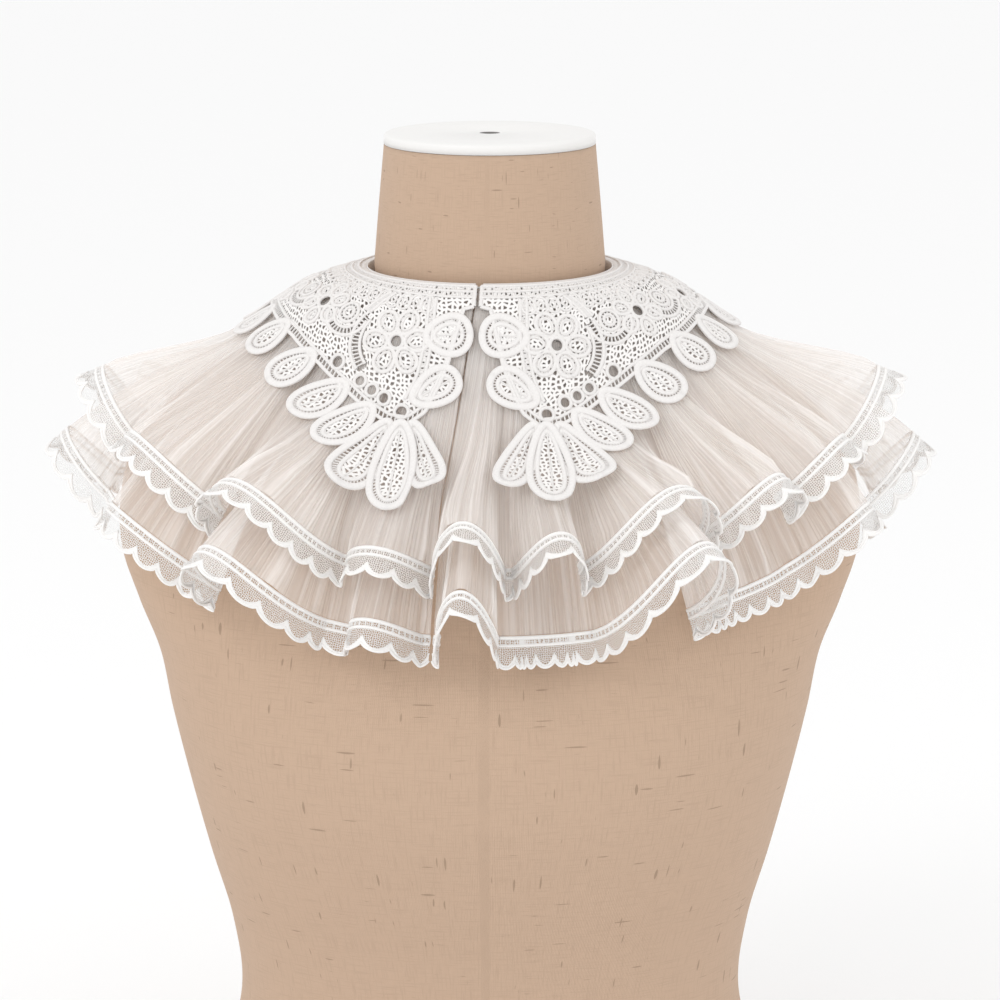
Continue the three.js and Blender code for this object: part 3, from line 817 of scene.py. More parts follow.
def smooth_rows(table, positions):
    """A smooth curve through the rows of a table, by its first column."""
    keys = table[:, 0]
    slopes = np.gradient(table, keys, axis=0)
    index = np.clip(np.searchsorted(keys, positions) - 1, 0, len(keys) - 2)
    step = (keys[index + 1] - keys[index])[:, None]
    t = ((positions - keys[index])[:, None]) / step
    start, end = table[index], table[index + 1]
    return (
        start * (1 + 2 * t) * (1 - t) ** 2
        + end * t**2 * (3 - 2 * t)
        + slopes[index] * step * t * (1 - t) ** 2
        - slopes[index + 1] * step * t**2 * (1 - t)
    )


def end_discs(columns, rows):
    """Faces from the middle of each end out to its edge. The middles are the last two points."""
    low, high = columns * rows, columns * rows + 1
    for start in range(0, columns, 2):
        first, second, third = ((start + k) % columns * rows for k in range(3))
        yield low, third, second, first
        yield high, first + rows - 1, second + rows - 1, third + rows - 1


def torso():
    heights = np.arange(FORM_SECTIONS[0, 0], FORM_SECTIONS[-1, 0] + 0.1, FORM_ROW)
    side, front, back, square = smooth_rows(FORM_SECTIONS, heights)[:, 1:].T
    azimuth = np.linspace(0, 360, FORM_COLUMNS, endpoint=False)[:, None]
    angle = np.radians(azimuth)
    depth = np.where(np.cos(angle) > 0, front, back)
    reach = np.abs(np.sin(angle) / side) ** square + np.abs(np.cos(angle) / depth) ** square
    points = polar(reach ** (-1 / square), azimuth, SEAM_HEIGHT + heights + 0 * azimuth)
    middles = [[0, 0, SEAM_HEIGHT + heights[0]], [0, 0, SEAM_HEIGHT + heights[-1]]]
    around = np.arange(FORM_COLUMNS)[:, None] * 2 * np.pi * COVER_RADIUS / FORM_COLUMNS / 10
    cover = np.stack(np.broadcast_arrays(around, heights / 10), axis=-1).reshape(-1, 2)
    walls = np.flip(grid_quads(FORM_COLUMNS, len(heights), closed=True), axis=1)
    return make_object(
        "linen_torso",
        np.vstack([points.reshape(-1, 3), middles]),
        np.vstack([walls, list(end_discs(FORM_COLUMNS, len(heights)))]),
        np.vstack([cover, [[0, 0], [0, 0]]]),
    )


torso_piece = torso()
dress(torso_piece, LINEN, "linen", "form_body")
print("torso", [round(d, 3) for d in torso_piece.dimensions])

# %% [markdown]
# A white cap closes the form's neck, with a bore for a finial or for the stand's pole. A cylinder
# with a bevel and a boolean would do. Turning a profile about the axis gives the rounded edge, the
# bore and its chamfer in one step, as a lathe does.

# %% Neck cap
CAP_BASE = SEAM_HEIGHT + 64.3
CAP_RADIUS = 52
CAP_HEIGHT = 5
CAP_ROUNDING = 1.6
CAP_BORE = 5
CAP_CHAMFER = 0.4
CAP_COLUMNS = 96


def turned(name, profile, columns):
    """A ring turned about the upright axis from a closed profile of radius and height."""
    profile = np.array(profile)
    azimuth = np.linspace(0, 360, columns, endpoint=False)[:, None]
    points = polar(profile[:, 0] + 0 * azimuth, azimuth, profile[:, 1] + 0 * azimuth)
    uvs = points[..., :2].reshape(-1, 2) / 10
    quads = grid_quads(columns, len(profile), closed=True)
    return make_object(name, points.reshape(-1, 3), quads, uvs)


def cap_profile():
    top = CAP_BASE + CAP_HEIGHT
    bore = [(CAP_BORE, CAP_BASE), (CAP_BORE, top - CAP_CHAMFER), (CAP_BORE + CAP_CHAMFER, top)]
    rim = []
    for angle in np.linspace(0, math.pi / 2, 6):
        out = CAP_RADIUS - CAP_ROUNDING + CAP_ROUNDING * math.sin(angle)
        rim.append((out, top - CAP_ROUNDING + CAP_ROUNDING * math.cos(angle)))
    return bore + rim + [(CAP_RADIUS, CAP_BASE), (CAP_BORE, CAP_BASE)]


cap = turned("painted_neck_cap", cap_profile(), CAP_COLUMNS)
dress(cap, PAINT, "cap", "neck_cap")
print("cap", [round(d, 3) for d in cap.dimensions])

# %% [markdown]
# ## The chiffon ruffles
#
# Each ruffle is one layer of thin cloth, pressed in fine pleats of uneven width. A bump alone would
# leave its hem and its outline smooth. So the pleats are real waves of a dense grid, eight columns
# to a pleat, and only the grain between them is left to the bump.

# %% Pleats of uneven width
PLEATS = 600
STEPS_A_PLEAT = 8
RUFFLE_COLUMNS = PLEATS * STEPS_A_PLEAT + 1
print("columns of a ruffle:", RUFFLE_COLUMNS)


def pleat_phase(rng, hem_share):
    """Which pleat each line is on, and how strong the pleats are there."""
    edges = np.concatenate([[0], np.cumsum(rng.uniform(0.55, 1.5, PLEATS))])
    phase = np.interp(hem_share, edges / edges[-1], np.arange(PLEATS + 1))
    strength = np.interp(phase, np.arange(PLEATS + 1), rng.uniform(0.45, 1.25, PLEATS + 1))
    return phase, strength


def slow_wave(rng, hem_share, count):
    """A wave whose places and heights are uneven, for the wider waves among the pleats."""
    knots = np.sort(rng.uniform(0, 1, count))
    return np.interp(hem_share, knots, rng.uniform(-1, 1, count))


# %% [markdown]
# Among the pleats lie creases, where the cloth was pressed or caught. Noise could make them, but
# the eye finds a few sharp ridges beside broad troughs, and noise gives neither. So each crease
# stands in a list with its place, its stretch of the depth, its width and its height. The list is
# short enough to change by hand, one crease at a time.

# %% Creases of the chiffon
CREASE_START = 0.25  # share of the depth in which a crease rises
CREASE_END = 0.15  # and in which it dies out
# at (degrees), from and to (share of the depth), wide (degrees), deep (mm, minus for a trough)
CREASES = [
    (-9.5, 0.3, 1.0, 1.3, -2.2),
    (-5.8, 0.25, 1.0, 0.56, 2.4),
    (-3.2, 0.3, 0.95, 0.5, 1.9),
    (1, 0.25, 1.0, 1.2, -2.0),
    (7, 0.2, 0.9, 1, 1.6),
    (12, 0.4, 1.0, 1.1, -1.2),
    (17, 0.35, 1.0, 1.3, -2.4),
    (25.5, 0.3, 1.0, 1.2, -2.2),
    (29.8, 0.62, 1.0, 0.5, 2.8),
    (33.6, 0.6, 0.95, 0.56, 3.2),
    (37.2, 0.58, 1.0, 0.43, 2.0),
    (41, 0.3, 1.0, 1.3, -2.4),
    (49, 0.48, 1.0, 0.5, 2.6),
    (52.4, 0.46, 0.95, 0.56, 3.0),
    (57, 0.3, 1.0, 1.3, -2.2),
    (61, 0.3, 0.75, 1.3, -0.8),
    (65.2, 0.44, 1.0, 0.56, 2.6),
    (68.6, 0.46, 0.9, 0.5, 1.8),
    (74, 0.35, 1.0, 1.8, -1.2),
    (80, 0.2, 0.9, 1.4, -1.8),
    (88, 0.44, 1.0, 0.56, 2.3),
    (95, 0.5, 1.0, 1.5, 0.9),
    (99, 0.2, 0.7, 1.6, -0.9),
    (107, 0.45, 1.0, 0.56, 2.5),
    (117, 0.3, 1.0, 1.8, -1.1),
    (126, 0.3, 1.0, 1.5, -2.0),
    (132, 0.58, 0.95, 0.56, 2.7),
    (144, 0.25, 0.9, 1.6, -1.0),
    (151, 0.66, 1.0, 0.5, 2.4),
    (154.6, 0.64, 0.9, 0.56, 1.9),
    (166, 0.3, 0.8, 1.7, -1.0),
    (173, 0.25, 1.0, 0.56, 2.2),
    (181, 0.25, 1.0, 1.3, -1.8),
    (188, 0.35, 1.0, 1.8, 1.0),
    (197, 0.2, 0.85, 1.4, -0.9),
    (204, 0.64, 1.0, 0.56, 2.6),
    (215, 0.5, 1.0, 1.6, 0.9),
    (221, 0.3, 0.9, 1.5, -1.1),
    (228.5, 0.6, 1.0, 0.56, 2.3),
    (233, 0.3, 0.9, 1.4, -2.0),
    (248, 0.46, 0.95, 0.5, 2.6),
    (258, 0.25, 0.8, 1.8, -1.0),
    (271, 0.44, 1.0, 0.56, 2.2),
    (276, 0.2, 1.0, 1.4, -1.9),
    (284, 0.3, 1.0, 1.7, -1.2),
    (296.6, 0.46, 1.0, 0.56, 2.7),
    (300, 0.5, 0.95, 0.5, 2.0),
    (304.5, 0.2, 1.0, 1.3, -2.2),
    (311, 0.55, 1.0, 1, 1.5),
    (315.4, 0.58, 0.95, 0.5, 2.6),
    (319, 0.62, 1.0, 0.56, 3.3),
    (322.4, 0.64, 0.9, 0.43, 1.8),
    (326.5, 0.2, 1.0, 1.3, -2.4),
    (332, 0.75, 1.0, 1.1, 1.5),
    (339, 0.45, 1.0, 1.2, -1.1),
    (343.4, 0.72, 1.0, 0.5, 2.4),
    (346, 0.66, 1.0, 0.8, 1.6),
]


def crease_height(u, share, shift):
    """All listed creases together. shift moves them a little from tier to tier."""
    total = np.zeros(np.broadcast(u, share).shape)
    for at, start, end, wide, deep in CREASES:
        across = np.exp(-(((u - at - shift) / wide) ** 2))
        along = np.clip((share - start) / CREASE_START, 0, 1)
        along = along * np.clip((end + CREASE_END - share) / CREASE_END, 0, 1)
        total += deep * across * along
    return total


print("creases:", len(CREASES))

# %% [markdown]
# The shell follows the drape, and pleats and creases push its points out or in along the normal.
# A displace modifier could push them too, but it would need a picture of every crease. At the hem
# the waves are pressed flatter, because the edging is sewn on there. The height of the creases
# is also kept as the gather map, which the material reads to make bunched cloth more solid.

# %% Lay the crinkled chiffon
RUFFLE_ROWS = np.array([0, 5, 11, 18, 27, 38, 50, 63, 77, 92, 108, 126, 146, 160, 168])
PLEAT_SHARE = 0.1  # height of a pleat, as a share of its width
PLEAT_WIDEST = 3.6  # width from which a pleat grows no higher
PLEAT_MAP = 0.3  # centimetres of the map that one pleat takes
DRIFT_WAVES = 260
DRIFT_HEIGHT = 0.5
DRIFT_GROWTH = 1.5  # the wider waves are full at the inverse share of the depth
HEM_PRESS = 0.6
HEM_PRESS_FROM = 0.97
HEM_PRESS_OVER = 0.03
GATHER_FULL = 3  # height at which a crease counts as fully bunched cloth


def ruffle_shell(name, tier, seed, shift):
    rng = np.random.default_rng(seed)
    u, hem = hem_lines(tier, RUFFLE_COLUMNS)
    rows = RUFFLE_ROWS * tier["depth"] / RUFFLE_ROWS[-1]
    share = (rows / tier["depth"])[None, :]
    column = u[:, None] + 0 * share
    along = rows[None, :] + 0 * column
    points, normals = ruffle_place(tier, column, along)
    hem_share = np.linspace(0, 1, RUFFLE_COLUMNS)
    phase, strength = pleat_phase(rng, hem_share)
    wave = (strength * np.sin(2 * np.pi * phase))[:, None]
    drift = slow_wave(rng, hem_share, DRIFT_WAVES)[:, None]
    pleat_width = np.linalg.norm(np.gradient(points, axis=0), axis=2) * STEPS_A_PLEAT
    pressed = 1 - HEM_PRESS * np.clip((share - HEM_PRESS_FROM) / HEM_PRESS_OVER, 0, 1)
    creases = crease_height(column, share, shift)
    offset = PLEAT_SHARE * np.minimum(pleat_width, PLEAT_WIDEST) * wave * pressed
    offset += DRIFT_HEIGHT * drift * np.clip(share * DRIFT_GROWTH, 0, 1) * pressed
    offset += creases * pressed
    points = points + normals * offset[..., None]
    uvs = np.stack([phase[:, None] * PLEAT_MAP + 0 * share, along / 10], axis=-1)
    quads = grid_quads(RUFFLE_COLUMNS, len(rows))
    shell = make_object(name, points.reshape(-1, 3), quads, uvs.reshape(-1, 2))
    add_map(shell, "gather", np.clip(creases / GATHER_FULL, 0, 1))
    return shell, hem


def surface_area(piece):
    return sum(face.area for face in piece.data.polygons)


for name, node_name, tier, seed, shift in (
    ("lower_chiffon", "lower_ruffle", LOWER, 11, 1.5),
    ("upper_chiffon", "upper_ruffle", UPPER, 23, 0),
):
    shell, hem = ruffle_shell(name, tier, seed, shift)
    dress(shell, CHIFFON, "chiffon", node_name)
    cut = surface_area(shell)
    print(name, "triangles", 2 * len(shell.data.polygons), "cloth", round(cut, 4), "m2")

# %% [markdown]
# ## The net edgings
#
# A scalloped net lace is sewn along each hem. Two cords run along its head, one follows the
# scallops, and a finer one lies inside them, with closer cloth between. A picture with an alpha
# could show all that, but not the cords' relief at the hem's outline. So the net is a flat strip
# whose holes are in its material, and the cords and the border are meshes.

# %% Edging strips
SCALLOPS = 138
STEPS_A_SCALLOP = 12
BARS_A_SCALLOP = 4
EDGING_GAP = 0.3  # from the chiffon's hem to the strip
EDGING_WIDTH = 13
EDGING_ROWS = np.linspace(0, 1, 7)
SCALLOP_DEPTH = 3
SCALLOP_FULLNESS = 0.75  # below one rounds the scallops out
HEAD_CORDS = [(0.9, 2.0, 1.4), (4.6, 1.6, 1.2)]  # distance from the hem, width, height
SCALLOP_CORD = (0.6, 1.4, 1.1)  # distance from the edge, width, height
FINE_CORD = 0.9
BORDER_WIDTH = 1.6
BORDER_RISE = 0.25
NOTCH_DEPTH = 2.6  # how much further the border reaches in at the notches
BAR_WIDTH = 0.7
FLARE_SHARE = 0.98  # cloth in the strip's surface, which flares a little towards its edge


def edging(name, tier):
    """Both tiers have their scallops on the lines that space them evenly along the upper hem."""
    count = SCALLOPS * STEPS_A_SCALLOP + 1
    step = np.arange(count) / STEPS_A_SCALLOP
    u = np.interp(step, np.arange(SCALLOPS + 1), hem_lines(UPPER, SCALLOPS + 1)[0])
    scallop = np.abs(np.sin(np.pi * step)) ** SCALLOP_FULLNESS
    width = EDGING_WIDTH + SCALLOP_DEPTH * scallop

    def at(distance, rise=0.0):
        return ruffle_place(tier, u, tier["depth"] + EDGING_GAP + distance, rise)

    grid = np.stack([at(width * share)[0] for share in EDGING_ROWS], axis=1)
    length = running_length(grid[:, 0])
    down = width[:, None] * EDGING_ROWS[None, :]
    strip_map = np.stack([length[:, None] / 10 + 0 * down, down / 10], axis=-1)
    quads = grid_quads(count, len(EDGING_ROWS))
    net = make_object(name + "_net", grid.reshape(-1, 3), quads, strip_map.reshape(-1, 2))

    cords = Strands()
    for distance, wide, high in HEAD_CORDS:
        cords.add(*at(distance + 0 * width), wide, high)
    inset, wide, high = SCALLOP_CORD
    inner = width - BORDER_WIDTH - NOTCH_DEPTH * (1 - scallop)
    cords.add(*at(width - inset), wide, high)
    cords.add(*at(inner), FINE_CORD, FINE_CORD, sides=4)
    border = [at(inner + (width - inner) * share, BORDER_RISE)[0] for share in (0, 0.5, 1)]
    cords.gather(np.stack(border, axis=1), grid_quads(count, 3), strip_map[:, :3])
    rung = np.arange(0, count, STEPS_A_SCALLOP // BARS_A_SCALLOP)
    places = [at(distance + 0 * width) for distance, _, _ in HEAD_CORDS]
    ties, tie_normals = (np.stack([place[k][rung] for place in places], axis=1) for k in (0, 1))
    cords.add(ties, tie_normals, BAR_WIDTH, BAR_WIDTH, sides=4)
    return net, cords.build(name + "_cords"), length[-1]


for name, tier, chiffon in (
    ("lower_lace", LOWER, "lower_chiffon"),
    ("upper_lace", UPPER, "upper_chiffon"),
):
    net, cords, length = edging(name, tier)
    print(name, "length", round(length), "mm")
    node_name = name.replace("lace", "edging")
    dress(net, EDGING_NET, "net_lace", node_name)
    dress(cords, EDGING_THREAD, "net_lace", node_name)
    surface_area(net) * FLARE_SHARE

# %% [markdown]
# ## The guipure collar
#
# Guipure is embroidered in thick cotton on a ground that is washed away, so its motifs hold
# together by their own bars. It is stiff: it doesn't follow each flute of the ruffle, but bridges
# from crest to crest. A stiffer cloth simulation could find that. Taking the highest flute nearby,
# and then easing the steps with an average, gives the same drape from the same tables.

# %% The lace's own drape
LACE_CENTRE = -4.5  # where the two halves meet at the front
LACE_GAP = 0.5
LACE_BRIDGE = 8  # degrees to each side that the stiff lace reaches over
LACE_EASE = 3
GUIPURE_RISE = 2.0


def wrapped(lift, more):
    """Lifts of all lines round the neck, with some lines more at each end."""
    return np.concatenate([lift[-more - 1 : -1], lift, lift[1 : more + 1]])


def bridging_lift():
    """The stiff lace keeps to the highest flute nearby, and eases between them."""
    lift = fold_lift(LINES, UPPER)
    reach = int(LACE_BRIDGE / LINE_STEP)
    around = wrapped(lift, reach)
    highest = np.max([around[k : k + len(lift)] for k in range(2 * reach + 1)], axis=0)
    ease = int(LACE_EASE / LINE_STEP)
    average = np.ones(2 * ease + 1) / (2 * ease + 1)
    return np.convolve(wrapped(highest, ease), average, mode="valid")


lace_path = follow(bridging_lift(), UPPER["outward"], UPPER["upward"])


def drape_point(azimuth, along):
    """The point of the lace at an azimuth, some millimetres from the neck."""
    u = (azimuth - OPENING) % 360 + OPENING
    return polar(read(lace_path[0], u, along), azimuth, read(lace_path[1], u, along))


def lace_place(side, away, down, rise=0.0):
    """Point and normal on the lace, for one half."""
    azimuth = LACE_CENTRE + side * away
    normals = normals_of(drape_point, azimuth, down)
    return drape_point(azimuth, down) + normals * (GUIPURE_RISE + rise), normals


lace_rounds = lace_path[0][:, 60]
print("lace radius 60 mm down:", lace_rounds.min().round(1), "to", lace_rounds.max().round(1), "mm")

# %% [markdown]
# The two halves are mirrored: a fan of large petals at the front and at the back, a row of smaller
# ones between, flowers round open eyelets in the ground, and arcs and rings about them. A drawing
# could be traced, but tables say more to a maker. Each motif stands by its degrees away from the
# centre front and its millimetres down from the neck, as in the CAD model, which cuts the outline.

# %% Where the motifs lie
# away, down, long, wide, turn. The middle petal of each fan lies over its neighbours.
PETALS = [
    (9.5, 27, 25, 22, -95),
    (11.8, 53, 28, 20, -124),
    (12.2, 89.5, 45, 18, -28),
    (18.9, 95, 50, 23.5, -6),
    (26, 92.5, 45, 20.5, 13),
    (33, 80, 34, 20, 30),
    (42, 71.5, 32, 20, 32),
    (53.8, 63, 29, 20, 28),
    (67, 57.5, 27, 20, 20),
    (79, 58, 26, 18, 8),
    (93, 54, 27, 23, -10),
    (107, 56, 27, 23, -22),
    (121, 60, 28, 22, -40),
    (137, 76, 34, 22, -26),
    (150.5, 84, 38, 22, 0),
    (163.5, 74, 34, 21, 26),
    (171.5, 38, 26, 21, 80),
]
FAN_MIDDLES = (18.9, 150.5)
FAN_RISE = 0.9  # of a fan's middle petal over its neighbours
HEM_AWAY = [0, 5, 9, 14, 19, 24, 30, 38, 48, 60, 75, 92, 120, 136, 151, 165, 172, 175, 180]
HEM_DOWN = [13, 15, 44, 66, 74, 74, 70, 63, 56, 51, 49, 48, 50, 62, 70, 60, 40, 16, 14]
# away, down, long, wide of the open eyelets
EYELETS = [
    (26.8, 33, 5.6, 5.6),
    (20.8, 66.5, 5.6, 5.4),
    (42.9, 50.7, 6, 5),
    (30.5, 59, 5.2, 4.4),
    (26.6, 61.5, 5.4, 4.4),
    (34.6, 56, 5, 4.4),
    (84, 33, 5.6, 5.6),
    (118, 33, 5.6, 5.6),
    (150, 33, 5.6, 5.6),
    (151, 58.5, 5.6, 5.4),
]
# away, down, size, and the angle of the first petal of each flower
FLOWERS = [
    (26.8, 33, 1.15, 20),
    (59.5, 27, 0.9, 0),
    (84, 33, 0.8, 10),
    (118, 33, 0.8, 25),
    (150, 33, 1.1, 5),
]
# away, down, inner and outer radius, start and end angle from straight down
HALOS = [
    (26.8, 33, 18.6, 23.4, 40, 112),
    (150, 33, 17.8, 21.6, -78, 78),
    (47.5, 26, 8, 12, -85, 85),
    (72, 27, 7.5, 11.5, -85, 85),
    (101, 28, 8, 12.5, -95, 95),
    (134, 29, 8.5, 13, -95, 95),
    (166, 22, 6, 10, -95, 95),
    (47.5, 26, 2.8, 5.2, -180, 180),
    (72, 27, 2.6, 5, -180, 180),
    (101, 28, 2.6, 5, -180, 180),
    (134, 29, 3, 5.5, -180, 180),
    (151, 58.5, 3.4, 6.5, -180, 180),
]
# routes of the laddered ribbons, away and down
RIBBONS = [
    [(17.4, 9), (16.2, 22), (16, 34), (16.8, 48), (19.4, 60)],
    [(35, 9), (38.5, 15), (41, 22)],
]
print("petals:", len(PETALS), "flowers:", len(FLOWERS), "arcs and rings:", len(HALOS))

# %% [markdown]
# A motif is drawn flat, lengthwise and crosswise, turned, and then laid on the lace round its
# place. Wrapping a flat drawing onto a curved cloth with a modifier would stretch it with the
# cloth; laid millimetre by millimetre, each petal keeps its own size.

# %% Draw on the lace
ROUND_SIDES, PLAIN_SIDES, THIN_SIDES = 8, 6, 4
BROAD_CORD = 1.9  # a cord wider than this gets more sides
TIE_HEIGHT = 0.9


def local_points(side, away, down, x, y, rise=0.0):
    """Points at x millimetres round and y down from a motif's middle."""
    middle, _ = lace_place(side, np.array([away]), np.array([down]))
    radius = np.hypot(middle[0, 0], middle[0, 1])
    return lace_place(side, away + np.degrees(x / radius), down + y, rise)


def turned_xy(lengthwise, crosswise, turn):
    """Millimetres round and down of a point of a motif that is turned by some degrees."""
    angle = math.radians(turn)
    return (
        lengthwise * math.sin(angle) + crosswise * math.cos(angle),
        lengthwise * math.cos(angle) - crosswise * math.sin(angle),
    )


def egg_ring(half_long, half_wide, count, egg, start=0.0):
    """Points round an egg, lengthwise and crosswise. Its wide end is the free one."""
    angle = 2 * np.pi * (np.arange(count) + start) / count
    crosswise = half_wide * np.sin(angle) * (1 + egg * np.cos(angle))
    return np.stack([half_long * np.cos(angle), crosswise], axis=1)


def oval(cords, side, place, ring, turn, width, height, rise=0.0):
    """A closed cord along a ring of points, turned and laid round a motif's place."""
    x, y = turned_xy(ring[:, 0], ring[:, 1], turn)
    sides = ROUND_SIDES if width > BROAD_CORD else PLAIN_SIDES
    cords.add(*local_points(side, *place, x, y, rise), width, height, sides, closed=True)


def bars(cords, side, place, starts, ends, turn, width, rise=0.0):
    """Short straight ties between two sets of lengthwise and crosswise places in a motif."""
    route = np.stack([starts, ends], axis=1)
    x, y = turned_xy(route[..., 0], route[..., 1], turn)
    cords.add(*local_points(side, *place, x, y, rise), width, TIE_HEIGHT, THIN_SIDES)


def sweep(cords, side, away, down, width, height, rise=0.0):
    """A cord along the lace, by its degrees away and millimetres down."""
    cords.add(*lace_place(side, away, down, rise), width, height, PLAIN_SIDES)


def ladder(cords, side, away, down, width=0.9):
    """Straight ties, each by its own degrees away and millimetres down."""
    cords.add(*lace_place(side, away, down), width, TIE_HEIGHT, THIN_SIDES)


# %% [markdown]
# The petals are what the eye sees first: a broad satin-stitched band round the rim, a groove that
# is crossed by ties, and a narrower band round a net core with a row of stitches down its spine.
# One function draws them all from the table, since they differ in size and turn only.

# %% Petals
PETAL_EGG = 0.22
BAND_WIDTH, BAND_HEIGHT, BAND_RISE = 3.7, 1.7, 0.2
INNER_BAND, INNER_HEIGHT = 2.2, 1.4
GROOVE = 0.7
CORE_INSET = BAND_WIDTH + GROOVE + INNER_BAND / 2
TIE_SPACING = 1.5
TIE_OVERLAP = 0.5  # how far a tie reaches into the cords that it joins


def fan_rise(away):
    return FAN_RISE if away in FAN_MIDDLES else 0.0


def petal_ring(long, wide, inset, count, start=0.0):
    """Points round a petal, some way inside its edge."""
    return egg_ring(long / 2 - inset, wide / 2 - inset, count, PETAL_EGG, start)


def big_petal(cords, side, away, down, long, wide, turn):
    place = (away, down)
    over = fan_rise(away)
    band = petal_ring(long, wide, BAND_WIDTH / 2, 48)
    core = petal_ring(long, wide, CORE_INSET, 36)
    oval(cords, side, place, band, turn, BAND_WIDTH, BAND_HEIGHT, BAND_RISE + over)
    oval(cords, side, place, core, turn, INNER_BAND, INNER_HEIGHT, over)
    count = round(math.pi * ((long + wide) / 2 - 2 * BAND_WIDTH) / TIE_SPACING)
    outer = petal_ring(long, wide, BAND_WIDTH - TIE_OVERLAP, count, 0.5)
    inner = petal_ring(long, wide, BAND_WIDTH + GROOVE + TIE_OVERLAP, count, 0.5)
    bars(cords, side, place, outer, inner, turn, 0.75, over)
    spine = np.linspace(-1, 1, 9) * (long / 2 - CORE_INSET)
    ties = np.stack([spine, 0 * spine], axis=1)
    bars(cords, side, place, ties[:-1], ties[1:], turn, 1.0, over)


# %% [markdown]
# Smaller motifs fill the ground: flowers of six padded petals round a ringed eyelet, and arcs and
# rings of two cords with spokes between. An array modifier could copy one petal round its eyelet,
# but its copies would not follow the curve of the cloth. So each petal is drawn on the cloth.

# %% Flowers, arcs and rings
FLOWER_PETALS = 6
FLOWER_REACH = 9.6  # from the eyelet to the middle of a flower's petal
FLOWER_EYELET = 3.7
FLOWER_LOBE = np.array([6.2, 5.2])  # half the length and half the width of a flower's petal
LOBE_EGG = 0.1
LOBE_RIM, LOBE_CORE = 1, 3.1  # distances in from the edge of a flower's petal
LOBE_TIES = (1.7, 2.8)
SPOKE_SPACING = 1.9


def flower_petals(side, away, down, size, first):
    """Place, half length and width, and turn of each petal of a flower."""
    middle, _ = lace_place(side, np.array([float(away)]), np.array([float(down)]))
    radius = np.hypot(*middle[0, :2])
    for index in range(FLOWER_PETALS):
        turn = first + 360 * index / FLOWER_PETALS
        x, y = turned_xy(FLOWER_REACH * size + FLOWER_EYELET * (1 - size), 0, turn)
        yield (away + math.degrees(x / radius), down + y), FLOWER_LOBE * size, turn


def flower(cords, side, away, down, size, first):
    eyelet = egg_ring(FLOWER_EYELET, FLOWER_EYELET, 22, 0)
    oval(cords, side, (away, down), eyelet, 0, 1.9, 1.6, 0.3)
    for place, half, turn in flower_petals(side, away, down, size, first):
        oval(cords, side, place, egg_ring(*(half - LOBE_RIM), 26, LOBE_EGG), turn, 2.0, 1.5, 0.15)
        oval(cords, side, place, egg_ring(*(half - LOBE_CORE), 16, LOBE_EGG), turn, 1.3, 1.1)
        outer, inner = (egg_ring(*(half - inset), 11, LOBE_EGG) for inset in LOBE_TIES)
        bars(cords, side, place, outer, inner, turn, 0.7)


def halo(cords, side, away, down, inner, outer, start, end):
    """Two arcs or rings of cord with spokes between them."""
    full = end - start >= 360
    angle = np.radians(np.linspace(start, end, 30, endpoint=not full))
    for radius, width in ((inner, 1.7), (outer, 1.9)):
        x, y = turned_xy(radius * np.cos(angle), radius * np.sin(angle), 0)
        arc = local_points(side, away, down, x, y, 0.1)
        cords.add(*arc, width, 1.4, PLAIN_SIDES, closed=full)
    count = round(math.radians(end - start) * (inner + outer) / 2 / SPOKE_SPACING)
    angle = np.radians(start + (end - start) * (np.arange(count) + 0.5) / count)
    ring = np.stack([np.cos(angle), np.sin(angle)], axis=1)
    bars(cords, side, (away, down), ring * inner, ring * outer, 0, 0.9)


# %% [markdown]
# Two ribbons, each of two cords tied like a ladder, curl down from the neck between the motifs.
# A Bezier curve would bend them smoothly. A few places joined by straight lines, with the corners
# averaged away, bend as smoothly, and the route is then the same kind of table as the motifs.

# %% Ribbons
RIBBON_WIDTH = 3.6
RIBBON_RADIUS = 85  # of the cloth where the ribbons lie
RIBBON_SMOOTHING = 6


def smoothed(values, times):
    """Rounds the corners of a route, and keeps its ends."""
    for _ in range(times):
        values[1:-1] = (values[:-2] + 2 * values[1:-1] + values[2:]) / 4
    return values


def ribbon(cords, side, route):
    knots = np.array(route, float)
    share = np.linspace(0, len(route) - 1, 40)
    away, down = (
        smoothed(np.interp(share, np.arange(len(route)), knots[:, k]), RIBBON_SMOOTHING) for k in (0, 1)
    )
    shift = np.degrees(RIBBON_WIDTH / 2 / RIBBON_RADIUS)
    for offset in (-shift, shift):
        sweep(cords, side, away + offset, down, 1.7, 1.4, 0.1)
    across = np.stack([away - shift, away + shift], axis=1)
    ladder(cords, side, across[1:-1], np.stack([down, down], axis=1)[1:-1])


# %% [markdown]
# An edge of open net would pull apart, so embroiderers finish every edge with cords. The neck has
# three, tied in two rows, with a row of small lobes below. The hem has a tied pair just inside the
# petals, and each upright end has one. They could be traced from the solid's edge, but the tables
# of the hem that cut the solid give the same lines.

# %% Edges of a half
NECK_INSET = 0.6  # degrees from a half's upright end to the ends of the neck's cords
NECK_CORDS = [(0.9, 1.8), (4.4, 1.6), (7.8, 1.4)]  # distance down and width
NECK_TIE_STEP = 1.5
NECK_LOBES = np.linspace(19, 176, 34)
NECK_LOBE_DOWN = 12.6
END_INSET = 0.8  # and to its end cord
END_CORD = np.linspace(0.9, 12.5, 8)
BROAD = 30  # depth from which the ground has room for a tied pair
BORDER_OUTER, BORDER_INNER = 1.0, 5.2  # distances in from the hem


